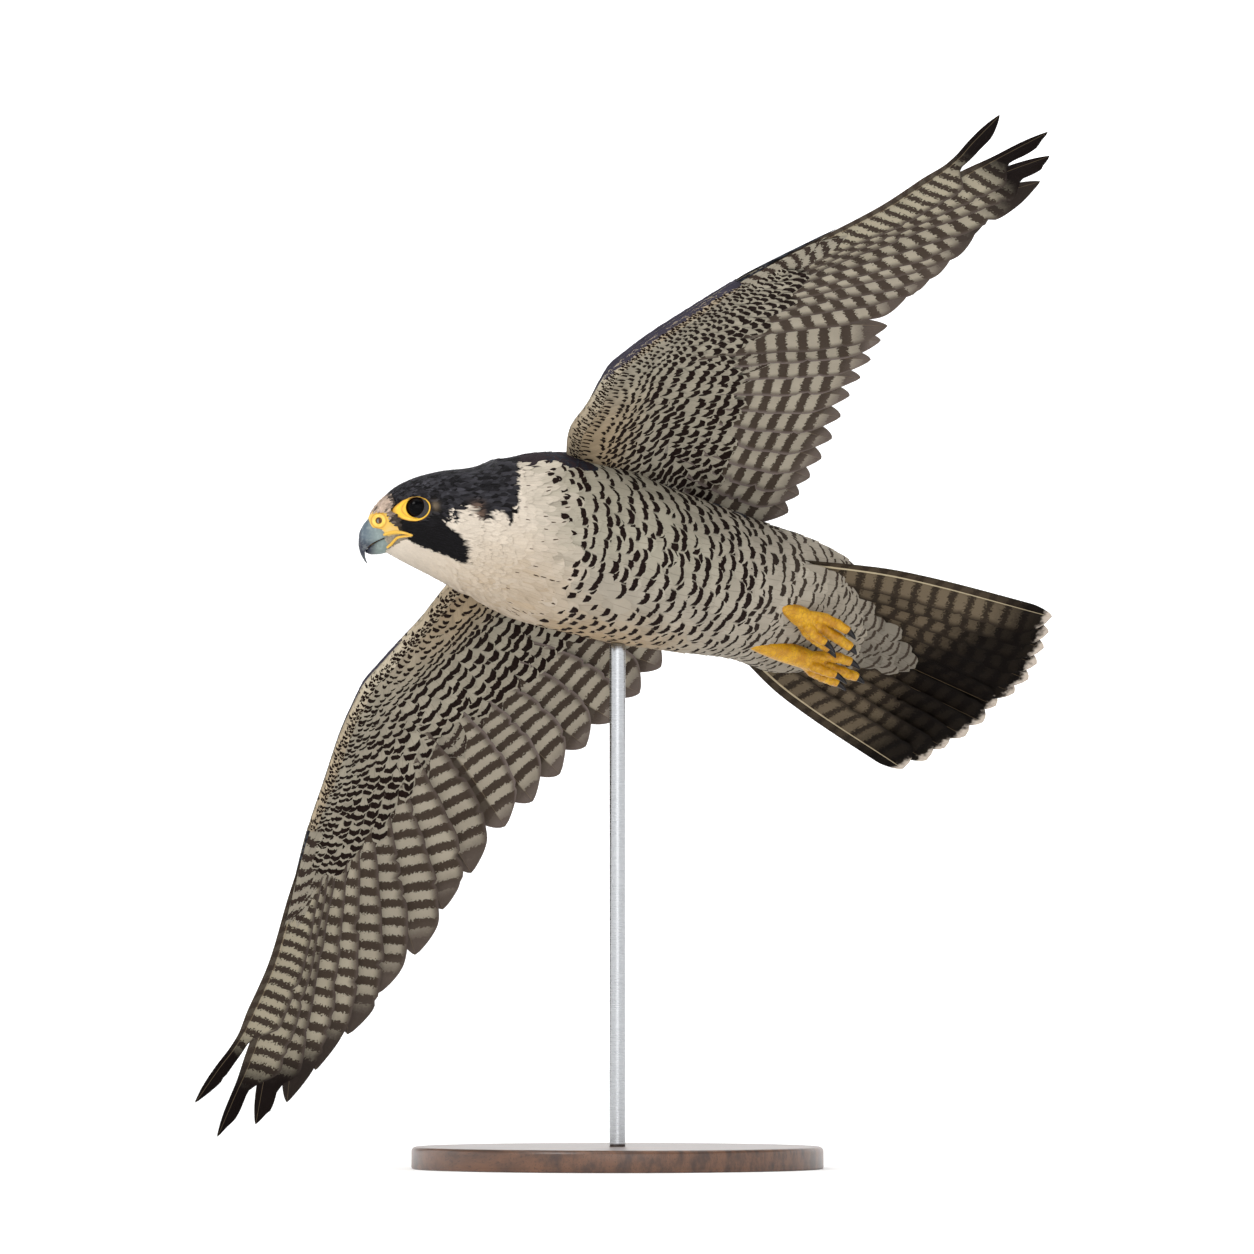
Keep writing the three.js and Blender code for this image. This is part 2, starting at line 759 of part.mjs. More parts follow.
function tailSolid() {
  const whole = join([rumpSolid(0), ...tailFeathers().map(vane), ...tailCoverts()]);
  return largest(whole.subtract(torsoSolid(gap)));
}

// Legs: feathered thighs that lie in hollows of the belly
function legSolid(side, grow = 0) {
  const points = legPath.map(([x, y, z]) => new THREE.Vector3(side * x, y, z));
  return tube(points, legRadii.map((r) => r + grow), 14);
}

// Feet: toes from a palm, each ending in its own claw
function footFrame(side) {
  const heel = vector(side > 0 ? footHeel.left : footHeel.right);
  const ahead = vector(side > 0 ? footEnd.left : footEnd.right).sub(heel).normalize();
  const across = new THREE.Vector3(side, 0, 0);
  across.addScaledVector(ahead, -across.dot(ahead)).normalize();
  const down = new THREE.Vector3().crossVectors(ahead, across).multiplyScalar(side);
  if (down.z > 0) down.negate();
  return (a, o, d) => heel.clone().addScaledVector(ahead, a).addScaledVector(across, o)
    .addScaledVector(down, d);
}

function toePoints(side, toe) {
  const inFoot = footFrame(side);
  return toe.path.map(([a, o, d]) => inFoot(a, o, d));
}

function footSolid(side) {
  const inFoot = footFrame(side);
  const palm = tube([inFoot(-6, 0, -3), inFoot(2, 0, 0), inFoot(9, 0, 1)], [4, 5.4, 4.4], 10);
  const pieces = toes.map((toe) => tube(toePoints(side, toe), toe.radii, 7));
  return largest(join([palm, ...pieces]).subtract(torsoSolid(gap)).subtract(legSolid(side, gap)));
}

function clawSolid(side, toe) {
  const points = toePoints(side, toe);
  const end = points[points.length - 1];
  const along = end.clone().sub(points[points.length - 2]).normalize();
  const inFoot = footFrame(side);
  const down = inFoot(0, 0, 1).sub(inFoot(0, 0, 0));
  const start = end.clone().addScaledVector(along, gap);
  const path = [0, 0.35, 0.7, 1].map((s) => start.clone()
    .addScaledVector(along, toe.claw * s * (1 - 0.25 * s))
    .addScaledVector(down, toe.claw * 0.45 * s * s));
  const root = toe.radii[toe.radii.length - 1];
  return tube(path, [root, root * 0.75, root * 0.4, 0.25], 7);
}

// The bird's own group, and the whole with the stand
const bird = new THREE.Group();
bird.rotation.set(-pitch * red, -bank * red, 0, 'YXZ');
bird.position.set(...birdPlace);

const whole = new THREE.Group();
whole.add(bird);

const finish = {
  plumage: new THREE.MeshStandardMaterial({ color: 0xbfb6a4, roughness: 0.85, metalness: 0 }),
  hood: new THREE.MeshStandardMaterial({ color: 0x2c2c34, roughness: 0.8, metalness: 0 }),
  flight: new THREE.MeshStandardMaterial({ color: 0x6f665c, roughness: 0.75, metalness: 0 }),
  skin: new THREE.MeshStandardMaterial({ color: 0xe0ae22, roughness: 0.55, metalness: 0 }),
  bill: new THREE.MeshStandardMaterial({ color: 0x6d7c88, roughness: 0.35, metalness: 0 }),
  eye: new THREE.MeshStandardMaterial({ color: 0x15100d, roughness: 0.08, metalness: 0 }),
  claw: new THREE.MeshStandardMaterial({ color: 0x17151a, roughness: 0.35, metalness: 0 }),
  base: new THREE.MeshStandardMaterial({ color: 0x4b3122, roughness: 0.45, metalness: 0 }),
  rod: new THREE.MeshStandardMaterial({ color: 0xa8aaad, roughness: 0.3, metalness: 1 }),
};

function place(name, solidBody, material, group = bird) {
  const mesh = new THREE.Mesh(geometryOf(solidBody), material);
  mesh.name = name;
  group.add(mesh);
}

// Stand: a round base and one upright rod that ends just under the body
function baseSolid() {
  const profile = [[0, 0], [baseRadius, 0], [baseRadius, baseThick - baseChamfer],
    [baseRadius - baseChamfer, baseThick], [0, baseThick]];
  const shape = new THREE.LatheGeometry(profile.map(([r, z]) => new THREE.Vector2(r, z)), 48);
  return solid(shape.rotateX(Math.PI / 2));
}

function rodSolid() {
  const rod = new THREE.CylinderGeometry(rodRadius, rodRadius, rodReach, 24);
  rod.rotateX(Math.PI / 2);
  rod.translate(0, 0, baseThick + gap + rodReach / 2);
  bird.updateMatrixWorld(true);
  const inWorld = geometryOf(torsoSolid(gap)).applyMatrix4(bird.matrixWorld);
  return largest(solid(rod).subtract(solid(inWorld)));
}

let torsoNode = torsoSolid(0);
for (const side of [1, -1]) torsoNode = torsoNode.subtract(legSolid(side, gap));
place('torso', largest(torsoNode), finish.plumage);
place('neck', largest(neckSolid()), finish.plumage);
place('head', headSolid(), finish.hood);
place('cere', cereSolid(), finish.skin);
place('bill_upper', billSolid(upperStations), finish.bill);
place('bill_lower', billSolid(lowerStations), finish.bill);
place('tail', tailSolid(), finish.flight);
for (const [name, side] of [['left', 1], ['right', -1]]) {
  place(`wing_${name}`, wingSolid(name), finish.flight);
  place(`eye_${name}`, eyeSolid(side), finish.eye);
  place(`leg_${name}`, legSolid(side), finish.plumage);
  place(`foot_${name}`, footSolid(side), finish.skin);
  for (const toe of toes) place(`claw_${name}_${toe.name}`, clawSolid(side, toe), finish.claw);
}
place('stand_base', baseSolid(), finish.base, whole);
place('stand_rod', rodSolid(), finish.rod, whole);

export default whole;
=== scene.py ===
# A peregrine falcon in banked flight on a plain stand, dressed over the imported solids.
# Shapes are worked out in the bird's own frame in millimetres: X to its left, Y aft,
# Z up, zero midway between the wrists. One turn and one shift then bank the whole bird.
import math
import bpy
import numpy as np
from mathutils import Matrix, Vector


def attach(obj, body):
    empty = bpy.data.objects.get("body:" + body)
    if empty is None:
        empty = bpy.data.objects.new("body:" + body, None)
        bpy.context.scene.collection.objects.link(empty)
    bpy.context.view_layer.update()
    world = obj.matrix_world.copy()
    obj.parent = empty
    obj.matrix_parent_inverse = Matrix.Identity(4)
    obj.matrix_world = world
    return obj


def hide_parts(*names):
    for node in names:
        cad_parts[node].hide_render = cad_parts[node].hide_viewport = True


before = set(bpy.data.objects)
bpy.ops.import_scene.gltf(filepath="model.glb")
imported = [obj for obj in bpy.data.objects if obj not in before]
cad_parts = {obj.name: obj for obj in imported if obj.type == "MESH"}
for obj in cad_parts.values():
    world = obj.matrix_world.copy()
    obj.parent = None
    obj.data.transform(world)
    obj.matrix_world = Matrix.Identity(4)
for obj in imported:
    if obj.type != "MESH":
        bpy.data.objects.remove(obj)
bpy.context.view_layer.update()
dice = np.random.default_rng(4127)  # every random draw comes from here, always in the same order
sides = {"left": 1, "right": -1}

pose = {"bank": 41.4, "pitch": 10.6, "place": (-13.0, -108.0, 402.0)}


def poseTurn():
    p, b = math.radians(-pose["pitch"]), math.radians(-pose["bank"])
    aboutX = np.array([[1, 0, 0], [0, math.cos(p), -math.sin(p)], [0, math.sin(p), math.cos(p)]])
    aboutY = np.array([[math.cos(b), 0, math.sin(b)], [0, 1, 0], [-math.sin(b), 0, math.cos(b)]])
    return aboutY @ aboutX


birdTurn = poseTurn()


def toWorld(points):
    return (np.asarray(points, float) @ birdTurn.T + np.array(pose["place"])) / 1000.0


def srgb(r, g, b):  # colour as seen, 0 to 255, to linear
    c = np.array([r, g, b], float) / 255.0
    return np.where(c <= 0.04045, c / 12.92, ((c + 0.055) / 1.055) ** 2.4)


def rgba(*c):
    return (*[float(v) for v in srgb(*c)], 1.0)


def unit(v):
    v = np.asarray(v, float)
    return v / np.maximum(np.linalg.norm(v, axis=-1, keepdims=True), 1e-9)


def track(pairs):  # smooth monotone line through [place, value] pairs
    x, y = np.array(list(pairs), float).T
    d = np.diff(y) / np.diff(x)
    m = np.concatenate([d[:1], np.zeros(len(x) - 2), d[-1:]])
    if len(x) > 2:
        a, b = d[:-1], d[1:]
        total = np.where(np.abs(a + b) < 1e-12, 1.0, a + b)
        m[1:-1] = np.where(a * b <= 0, 0.0, 2 * a * b / total)

    def at(q):
        q = np.asarray(q, float)
        i = np.clip(np.searchsorted(x, q) - 1, 0, len(x) - 2)
        span = x[i + 1] - x[i]
        s = (q - x[i]) / span
        s2, s3 = s * s, s * s * s
        inside = ((2 * s3 - 3 * s2 + 1) * y[i] + (s3 - 2 * s2 + s) * m[i] * span
                  + (3 * s2 - 2 * s3) * y[i + 1] + (s3 - s2) * m[i + 1] * span)
        low = y[0] + (q - x[0]) * d[0]
        high = y[-1] + (q - x[-1]) * d[-1]
        return np.where(q <= x[0], low, np.where(q >= x[-1], high, inside))
    return at


def mix(a, b, s):
    return a + (b - a) * s


def smooth(low, high, q):
    s = np.clip((np.asarray(q, float) - low) / (high - low), 0, 1)
    return s * s * (3 - 2 * s)


def bell(count):  # one normal draw for each feather
    return dice.normal(0, 1, count)


def fullTurn(count):
    return 2 * np.pi * np.arange(count) / count


# Meshes from arrays

def paint(mesh, label, tone):  # a colour attribute with one value for each point
    full = np.concatenate([tone, np.ones((len(tone), 1))], 1).astype(np.float32)
    mesh.attributes.new(label, "FLOAT_COLOR", "POINT").data.foreach_set("color", full.ravel())


def inScene(name, data):
    item = bpy.data.objects.new(name, data)
    bpy.context.scene.collection.objects.link(item)
    return item


def dress(piece, slot, *nodes):
    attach(piece, "root")
    if nodes:
        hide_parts(*nodes)


def addMesh(name, points, faces, uv=None, bake=None, colours=None, vectors=None, material=None, world=False):
    places = np.asarray(points, float) if world else toWorld(points)
    quads = np.asarray(faces, np.int32)
    corners = quads.shape[1]
    a, b, c, d = [places[quads[:, i]] for i in (0, 1, 2, corners - 1)]
    volume = (np.einsum("ij,ij->i", a, np.cross(b, c)).sum()
              + np.einsum("ij,ij->i", a, np.cross(c, d)).sum())
    if volume < 0:  # faces point outwards
        quads = quads[:, ::-1].copy()
        if bake is not None and len(bake) != len(places):
            bake = bake.reshape(-1, corners, 2)[:, ::-1].reshape(-1, 2)
    mesh = bpy.data.meshes.new(name)
    mesh.vertices.add(len(places))
    mesh.vertices.foreach_set("co", places.astype(np.float32).ravel())
    mesh.loops.add(quads.size)
    mesh.loops.foreach_set("vertex_index", quads.ravel())
    mesh.polygons.add(len(quads))
    mesh.polygons.foreach_set("loop_start", np.arange(0, quads.size, corners, dtype=np.int32))
    mesh.update(calc_edges=True)
    mesh.validate()
    for label, value in (("Vane", uv), ("OFBake", bake)):
        if value is not None:
            flat = value[quads.ravel()] if len(value) == len(places) else value
            mesh.uv_layers.new(name=label).data.foreach_set("uv", flat.astype(np.float32).ravel())
    for label, value in (colours or {}).items():
        paint(mesh, label, value)
    for label, value in (vectors or {}).items():
        layer = mesh.attributes.new(label, "FLOAT_VECTOR", "POINT")
        layer.data.foreach_set("vector", value.astype(np.float32).ravel())
    mesh.polygons.foreach_set("use_smooth", np.full(len(quads), True))
    if vectors:  # the thin rim of a vane doesn't bend the shading of its faces
        mesh.set_sharp_from_angle(angle=1.2)
    if material:
        mesh.materials.append(material)
    return inScene(name, mesh)


def gridFaces(rows, cols, closed=True):
    r, c = np.meshgrid(np.arange(rows - 1), np.arange(cols if closed else cols - 1), indexing="ij")
    d = (c + 1) % cols
    return np.stack([r * cols + c, r * cols + d, (r + 1) * cols + d, (r + 1) * cols + c], -1).reshape(-1, 4)


def vaneGrid(rows, across):  # closed thin sheet: place along, place across and layer of each point
    cols = len(across)
    top = np.arange((rows + 1) * cols).reshape(rows + 1, cols)
    low = top.copy()  # the two layers share their border
    low[1:-1, 1:-1] = top.size + np.arange((rows - 1) * (cols - 2)).reshape(rows - 1, cols - 2)
    along, side = np.meshgrid(np.arange(rows + 1) / rows, across, indexing="ij")
    s, x = [np.concatenate([q.ravel(), q[1:-1, 1:-1].ravel()]) for q in (along, side)]
    faces = gridFaces(rows + 1, cols, closed=False)
    layer = (np.arange(len(s)) >= top.size).astype(int)
    return s, x, layer, np.concatenate([faces, low.ravel()[faces][:, [0, 3, 2, 1]]])


def closedLoft(grid):  # points and triangles of rings with both ends closed
    rows, cols = grid.shape[:2]
    points = np.concatenate([grid.reshape(-1, 3), [grid[0].mean(0)], [grid[-1].mean(0)]])
    c, last, first = np.arange(cols), (rows - 1) * cols, np.full(cols, rows * cols)
    d = (c + 1) % cols
    caps = np.stack([d, c, first, last + c, last + d, first + 1], -1)
    tris = np.concatenate([gridFaces(rows, cols)[:, [0, 1, 2, 0, 2, 3]].reshape(-1, 3), caps.reshape(-1, 3)])
    a, b, c = points[tris[:, 0]], points[tris[:, 1]], points[tris[:, 2]]
    if np.einsum("ij,ij->i", a, np.cross(b, c)).sum() < 0:
        tris = tris[:, ::-1]
    return points, tris


def joined(parts):
    points = np.concatenate([p for p, _ in parts])
    starts = np.cumsum([0] + [len(p) for p, _ in parts])
    return points, np.concatenate([t + start for (_, t), start in zip(parts, starts)])


def loftPiece(name, grid, material, tone):  # tone: one colour, or one for each point of the rings
    points, tris = closedLoft(grid)
    if tone.ndim == 1:
        ground = np.tile(tone, (len(points), 1))
    else:
        ground = np.concatenate([tone.reshape(-1, 3), tone[0].mean(0)[None], tone[-1].mean(0)[None]])
    return addMesh(name, points, tris, colours={"ground": ground}, material=material)


def melt(name, parts, voxel, smoothing):  # one closed sheet from closed parts
    raw = addMesh(name + "Raw", *joined(parts))
    remesh = raw.modifiers.new("melt", "REMESH")
    remesh.mode = "VOXEL"
    remesh.voxel_size = voxel
    remesh.use_smooth_shade = True
    calm = raw.modifiers.new("calm", "SMOOTH")
    calm.iterations = smoothing
    mesh = bpy.data.meshes.new_from_object(raw.evaluated_get(bpy.context.evaluated_depsgraph_get()))
    bpy.data.objects.remove(raw)
    mesh.materials.clear()
    return inScene(name, mesh)


# Body surface: one grid of rings from the face over the neck to the tail root

headStations = [  # forward, top, bottom, half width, middle
    (22.5, 5.0, -26.5, 9.0, -11), (19, 9.2, -28.4, 11.0, -9), (14, 13.2, -31.3, 14.0, -7),
    (8, 16.4, -34.5, 17.2, -6), (0, 19.6, -38.6, 20.0, -6), (-9, 22.0, -43.2, 22.4, -8),
    (-18, 23.7, -48.2, 24.2, -10), (-27, 24.6, -54.0, 26.5, -13),
]
torsoStations = [  # aft, middle, half width, height above and below the middle
    (14, -3, 44, 49, 45), (38, 1, 51, 53, 52), (66, 4, 54, 54, 56), (100, 1, 54, 52, 54),
    (135, -3, 51, 48, 51), (175, -4, 48, 44, 48), (210, -5, 46, 37, 43), (236, -9, 49, 29, 36),
    (256, -16, 50, 21, 26), (276, -23, 42, 14, 16), (296, -30, 26, 8, 9), (310, -34, 10, 4, 4),
]
headZero = np.array([-11.3, -35.9, 19.4])
headF = unit([-0.539, -0.770, 0.341])
headL = unit(np.cross([0.679, -0.159, 0.716], headF))
headU = np.cross(headF, headL)
headPower = 2.15  # squareness of the head's rings
sideCount = 120
ringCounts = {"head": 44, "neck": 16, "torso": 74}


def inHead(f, l, u):
    f, l, u = np.broadcast_arrays(np.asarray(f, float), l, u)
    return headZero + f[..., None] * headF + l[..., None] * headL + u[..., None] * headU


def profile(points):  # head coordinates of points: forward, left, up
    q = points - headZero
    return q @ headF, q @ headL, q @ headU


def ovalRing(middle, side, up, wide, above, below, count, power):
    turn = fullTurn(count)
    c, s = np.cos(turn), np.sin(turn)
    reach = np.sign(c) * np.abs(c) ** (2 / power) * wide
    high = np.sign(s) * np.abs(s) ** (2 / power) * np.where(s > 0, above, below)
    return middle + reach[:, None] * side + high[:, None] * up


headTop, headBottom, headWide, headMid = [
    track((-row[0], row[k]) for row in headStations) for k in (1, 2, 3, 4)]
torsoZ, torsoWide, torsoAbove, torsoBelow = [
    track((row[0], row[k]) for row in torsoStations) for k in (1, 2, 3, 4)]


def headRing(f):
    mid = float(headMid(-f))
    return ovalRing(inHead(f, 0.0, mid), headL, headU, float(headWide(-f)), float(headTop(-f)) - mid,
                    mid - float(headBottom(-f)), sideCount, headPower)


def torsoRing(y):
    middle = np.array([0.0, y, float(torsoZ(y))])
    return ovalRing(middle, np.array([1.0, 0, 0]), np.array([0, 0, 1.0]), float(torsoWide(y)),
                    float(torsoAbove(y)), float(torsoBelow(y)), sideCount, 2.2)


def bodyRings():
    first, last = torsoStations[0][0], torsoStations[-1][0]
    rings = [headRing(f) for f in np.linspace(headStations[0][0], headStations[-1][0], ringCounts["head"])]
    start, end = rings[-1], torsoRing(float(first))
    gaps = [((np.roll(end, -k, 0) - start) ** 2).sum() for k in range(sideCount)]
    shift = int(np.argmin(gaps))
    end = np.roll(end, -shift, 0)
    reach = np.linalg.norm(end - start, axis=1, keepdims=True) * 0.35
    a, b = start, start - headF * reach
    c, d = end + np.array([0, -1.0, 0]) * reach, end
    for s in np.linspace(0, 1, ringCounts["neck"] + 2)[1:-1]:
        t = 1 - s
        rings.append(t ** 3 * a + 3 * t * t * s * b + 3 * t * s * s * c + s ** 3 * d)
    rings += [np.roll(torsoRing(y), -shift, 0) for y in np.linspace(first, last, ringCounts["torso"])]
    grid = np.array(rings)
    for _ in range(3):
        grid[1:-1] = 0.25 * grid[:-2] + 0.5 * grid[1:-1] + 0.25 * grid[2:]
    return grid


class Sheet:  # grid of points that closes round in its second direction
    def __init__(self, grid):
        self.grid = grid
        self.along = np.gradient(grid, axis=0)
        self.round = (np.roll(grid, -1, 1) - np.roll(grid, 1, 1)) / 2
        normal = unit(np.cross(self.along, self.round))
        flip = np.sign(((grid - grid.mean(1, keepdims=True)) * normal).sum(-1).mean())
        self.normal = normal * flip

    def take(self, field, k, j):
        rows, cols = field.shape[:2]
        k = np.clip(k, 0, rows - 1.001)
        k0, j0 = np.floor(k).astype(int), np.floor(j).astype(int)
        a, b = (k - k0)[..., None], (j - j0)[..., None]
        j1 = (j0 + 1) % cols
        j0 = j0 % cols
        return ((field[k0, j0] * (1 - b) + field[k0, j1] * b) * (1 - a)
                + (field[k0 + 1, j0] * (1 - b) + field[k0 + 1, j1] * b) * a)

    def at(self, k, j, lift=0.0):
        return self.take(self.grid, k, j) + self.take(self.normal, k, j) * np.asarray(lift, float)[..., None]


brow = {"place": (3, 17.2, 8.6), "radii": (12, 5, 3.0), "rise": 1.6}
bodyGrid = bodyRings()
f, l, u = profile(bodyGrid)
near = sum(((q - at) / r) ** 2 for q, at, r in zip((f, np.abs(l), u), brow["place"], brow["radii"]))
bodyGrid = bodyGrid + (brow["rise"] * np.exp(-near))[..., None] * np.sign(l)[..., None] * headL
body = Sheet(bodyGrid)
print("body surface", bodyGrid.shape)


def headSide(f, u):  # half width of the head at a place on its profile
    f, u = np.broadcast_arrays(np.asarray(f, float), u)
    mid = headMid(-f)
    reach = np.where(u > mid, headTop(-f) - mid, mid - headBottom(-f))
    part = np.clip(np.abs(u - mid) / np.maximum(reach, 1e-3), 0, 0.999) ** headPower
    swell = brow["rise"] * np.exp(-(((f - brow["place"][0]) / brow["radii"][0]) ** 2
                                    + ((u - brow["place"][2]) / brow["radii"][2]) ** 2))
    return headWide(-f) * (1 - part) ** (1 / headPower) + swell


# Wing surfaces

leadingEdge = track([(30, 64), (44, 53), (58, 42), (72, 33), (100, 22), (127, 9), (148, 2), (170, 3),
                     (218, 12), (255, 19), (298, 30), (332, 38), (366, 45), (402, 52), (466, 62)])
edgeHeight = {side: track([(30, 38), (44, 34), (95, 16), (146, -1), (230, -20), (330, hand), (470, tip)])
              for side, hand, tip in (("left", -50, -95), ("right", -47, -86))}
chordSlope = {
    "left": track([(44, -0.06), (95, 0.03), (146, 0.07), (230, 0), (330, -0.12), (470, -0.2)]),
    "right": track([(44, -0.08), (95, 0), (146, 0.01), (230, -0.08), (330, -0.14), (470, -0.14)]),
}
chordLength = track([(30, 170), (60, 195), (100, 205), (150, 200), (200, 160), (250, 125), (330, 90), (470, 30)])
camberHeight = track([(30, 10), (100, 11), (180, 8), (260, 4), (470, 1)])
fleshChord = track([(30, 100), (70, 88), (100, 66), (148, 42), (200, 27), (246, 12)])
fleshThick = track([(30, 32), (70, 24), (100, 18), (148, 15), (200, 11), (246, 7)])
primaryTips = {
    "left": [(244, 145), (281, 127), (312, 120), (335, 115), (361, 110),
             (380, 106), (423, 106), (446, 94), (464, 78), (463, 43)],
    "right": [(251, 146), (279, 138), (313, 134), (346, 123), (379, 117),
              (409, 108), (436, 100), (457, 87), (472, 65), (453, 38)],
}
secondaryTips = {
    "left": [(227, 155), (157, 194), (93, 223), (44, 231)],
    "right": [(217, 156), (158, 193), (96, 221), (46, 230)],
}
handRoots = np.array([(158, 15), (234, 20)], float)
armRoots = np.array([(144, 26), (74, 82)], float)
outerBend = {"left": (16.5, 4), "right": (15, 8)}  # how far the two outermost primaries bow


def wingPoint(side, x, y, lift):
    x, y, lift = np.broadcast_arrays(np.asarray(x, float), y, lift)
    aft = y - leadingEdge(x)
    s = np.clip(aft / chordLength(x), 0, 1.2)
    z = edgeHeight[side](x) + chordSlope[side](x) * aft + 4 * camberHeight(x) * s * (1 - s) + lift
    return np.stack([x if side == "left" else -x, y, z], -1)


def fleshHalf(x, aft):  # half thickness of the wing's flesh behind the leading edge
    s = np.clip(aft / fleshChord(x), 0, 1)
    return fleshThick(x) * np.sqrt(s * (1 - s)) * (1.25 - 0.55 * s) * (x < 250)


def wingSkin(face, x, y):  # lift of the feathered surface over the wing's mean surface
    aft = y - leadingEdge(x)
    low = (4.4 if face < 0 else 3.0) * smooth(0, 16, aft)
    return face * np.maximum(fleshHalf(x, aft), low)


def wingFeathers(side):
    feathers = []
    for n in range(10, 0, -1):
        s = (n - 1) / 9
        most = -outerBend[side][0] if n == 10 else -outerBend[side][1] if n == 9 else 2
        hook = [(0.3, 0.54), (0.56, 1), (0.74, 0.9), (0.80, 0.76), (0.87, 0.46)] if n > 8 else [(0.6, 1)]
        feathers.append({
            "kind": "primary", "n": n, "root": mix(*handRoots, s), "tip": np.array(primaryTips[side][n - 1], float),
            "front": mix(8, 5, s), "rear": mix(29, 21, s), "tilt": 0.11, "cover": mix(0.5, 0.36, s),
            "bend": [(0, 0)] + [(at, most * part) for at, part in hook] + [(1, 0)],
        })
    outs, afts = [track((1 + 3 * i, t[axis]) for i, t in enumerate(secondaryTips[side])) for axis in (0, 1)]
    for n in range(1, 11):
        s = (n - 1) / 9
        feathers.append({
            "kind": "secondary", "n": n, "root": mix(*armRoots, s), "tip": np.array([outs(n), afts(n)]),
            "front": mix(14, 9, s), "rear": 24, "tilt": mix(0.09, 0.13, s), "cover": mix(0.56, 0.5, s),
            "bend": [(0, 0), (0.5, -2), (1, 0)],
        })
    return feathers


# Tail frame

tail = {"root": np.array([2.0, 222, -7]), "length": 193, "round": 0.115, "drop": 17, "roll": -8,
        "spread": 16.6, "rootHalf": 42, "pairs": 6, "step": 1.1, "bend": 7}
tailA = np.array([0, math.cos(math.radians(tail["drop"])), -math.sin(math.radians(tail["drop"]))])


def turned(v, axis, degrees):
    a = math.radians(degrees)
    return v * math.cos(a) + np.cross(axis, v) * math.sin(a) + axis * (axis @ v) * (1 - math.cos(a))


tailS = turned(np.array([1.0, 0, 0]), tailA, -tail["roll"])
tailN = np.cross(tailS, tailA)


def inTail(across, aft, lift):
    across, aft, lift = np.broadcast_arrays(np.asarray(across, float), aft, lift)
    return tail["root"] + across[..., None] * tailS + aft[..., None] * tailA + lift[..., None] * tailN


# Materials

class Graph:  # short words for building a material's nodes
    def __init__(self, name):
        self.material = bpy.data.materials.new(name)
        self.material.use_nodes = True
        self.nodes = self.material.node_tree.nodes
        self.links = self.material.node_tree.links
        self.shader = self.nodes["Principled BSDF"]

    def put(self, kind, **values):
        node = self.nodes.new(kind)
        for key, value in values.items():
            setattr(node, key, value)
        return node

    def feed(self, socket, value):
        if hasattr(value, "is_output"):
            self.links.new(value, socket)
        else:
            socket.default_value = value

    def math(self, kind, a, b=0.0, c=0.0):
        node = self.put("ShaderNodeMath", operation=kind)
        for socket, value in zip(node.inputs, (a, b, c)):
            self.feed(socket, value)
        return node.outputs[0]

    def times(self, a, b):
        return self.math("MULTIPLY", a, b)

    def plus(self, a, b):
        return self.math("ADD", a, b)

    def minus(self, a, b):
        return self.math("SUBTRACT", a, b)

    def ramp(self, value, low, high, start=0.0, end=1.0):
        node = self.put("ShaderNodeMapRange", interpolation_type="SMOOTHSTEP")
        for socket, item in zip(node.inputs, (value, low, high, start, end)):
            self.feed(socket, item)
        return node.outputs[0]

    def blend(self, factor, a, b, kind="MIX"):
        node = self.put("ShaderNodeMix", data_type="RGBA", blend_type=kind)
        for index, value in ((0, factor), (6, a), (7, b)):
            self.feed(node.inputs[index], value)
        return node.outputs[2]

    def colour(self, name):
        return self.put("ShaderNodeAttribute", attribute_name=name).outputs["Color"]

    def split(self, vector):
        node = self.put("ShaderNodeSeparateXYZ")
        self.links.new(vector, node.inputs[0])
        return node.outputs

    def vector(self, name):
        return self.split(self.put("ShaderNodeAttribute", attribute_name=name).outputs["Vector"])

    def place(self, scale=None):  # the object's own coordinates, stretched where a scale is given
        own = self.put("ShaderNodeTexCoord").outputs["Object"]
        if not scale:
            return own
        stretch = self.put("ShaderNodeMapping")
        self.feed(stretch.inputs["Vector"], own)
        stretch.inputs["Scale"].default_value = scale
        return stretch.outputs[0]

    def noise(self, scale, detail=2.0, place=None, rough=0.5):
        node = self.put("ShaderNodeTexNoise")
        self.feed(node.inputs["Vector"], place or self.place())
        for key, value in (("Scale", scale), ("Detail", detail), ("Roughness", rough)):
            node.inputs[key].default_value = value
        return node.outputs["Fac"]

    def bump(self, height, strength, distance):
        node = self.put("ShaderNodeBump")
        node.inputs["Strength"].default_value = strength
        node.inputs["Distance"].default_value = distance
        self.links.new(height, node.inputs["Height"])
        self.links.new(node.outputs[0], self.shader.inputs["Normal"])

    def finish(self, colour, **sockets):
        self.feed(self.shader.inputs["Base Color"], colour)
        for key, value in sockets.items():
            self.feed(self.shader.inputs[key.replace("_", " ")], value)
        return self.material


# fineness of the barbs, raggedness of the marks, the shaft, roughness, height of the relief, gloss,
# softness and strength of the dark tip band, colour of a pale end beyond it
feather = {"barbs": 26.0, "ragged": 0.10, "shaft": 0.055, "shaftTone": (60, 50, 44), "shaftMix": 0.25,
           "roughness": 0.7, "depth": 0.0003, "gloss": 0.02, "bandSoft": 0.03, "bandMix": 1.0, "end": None}


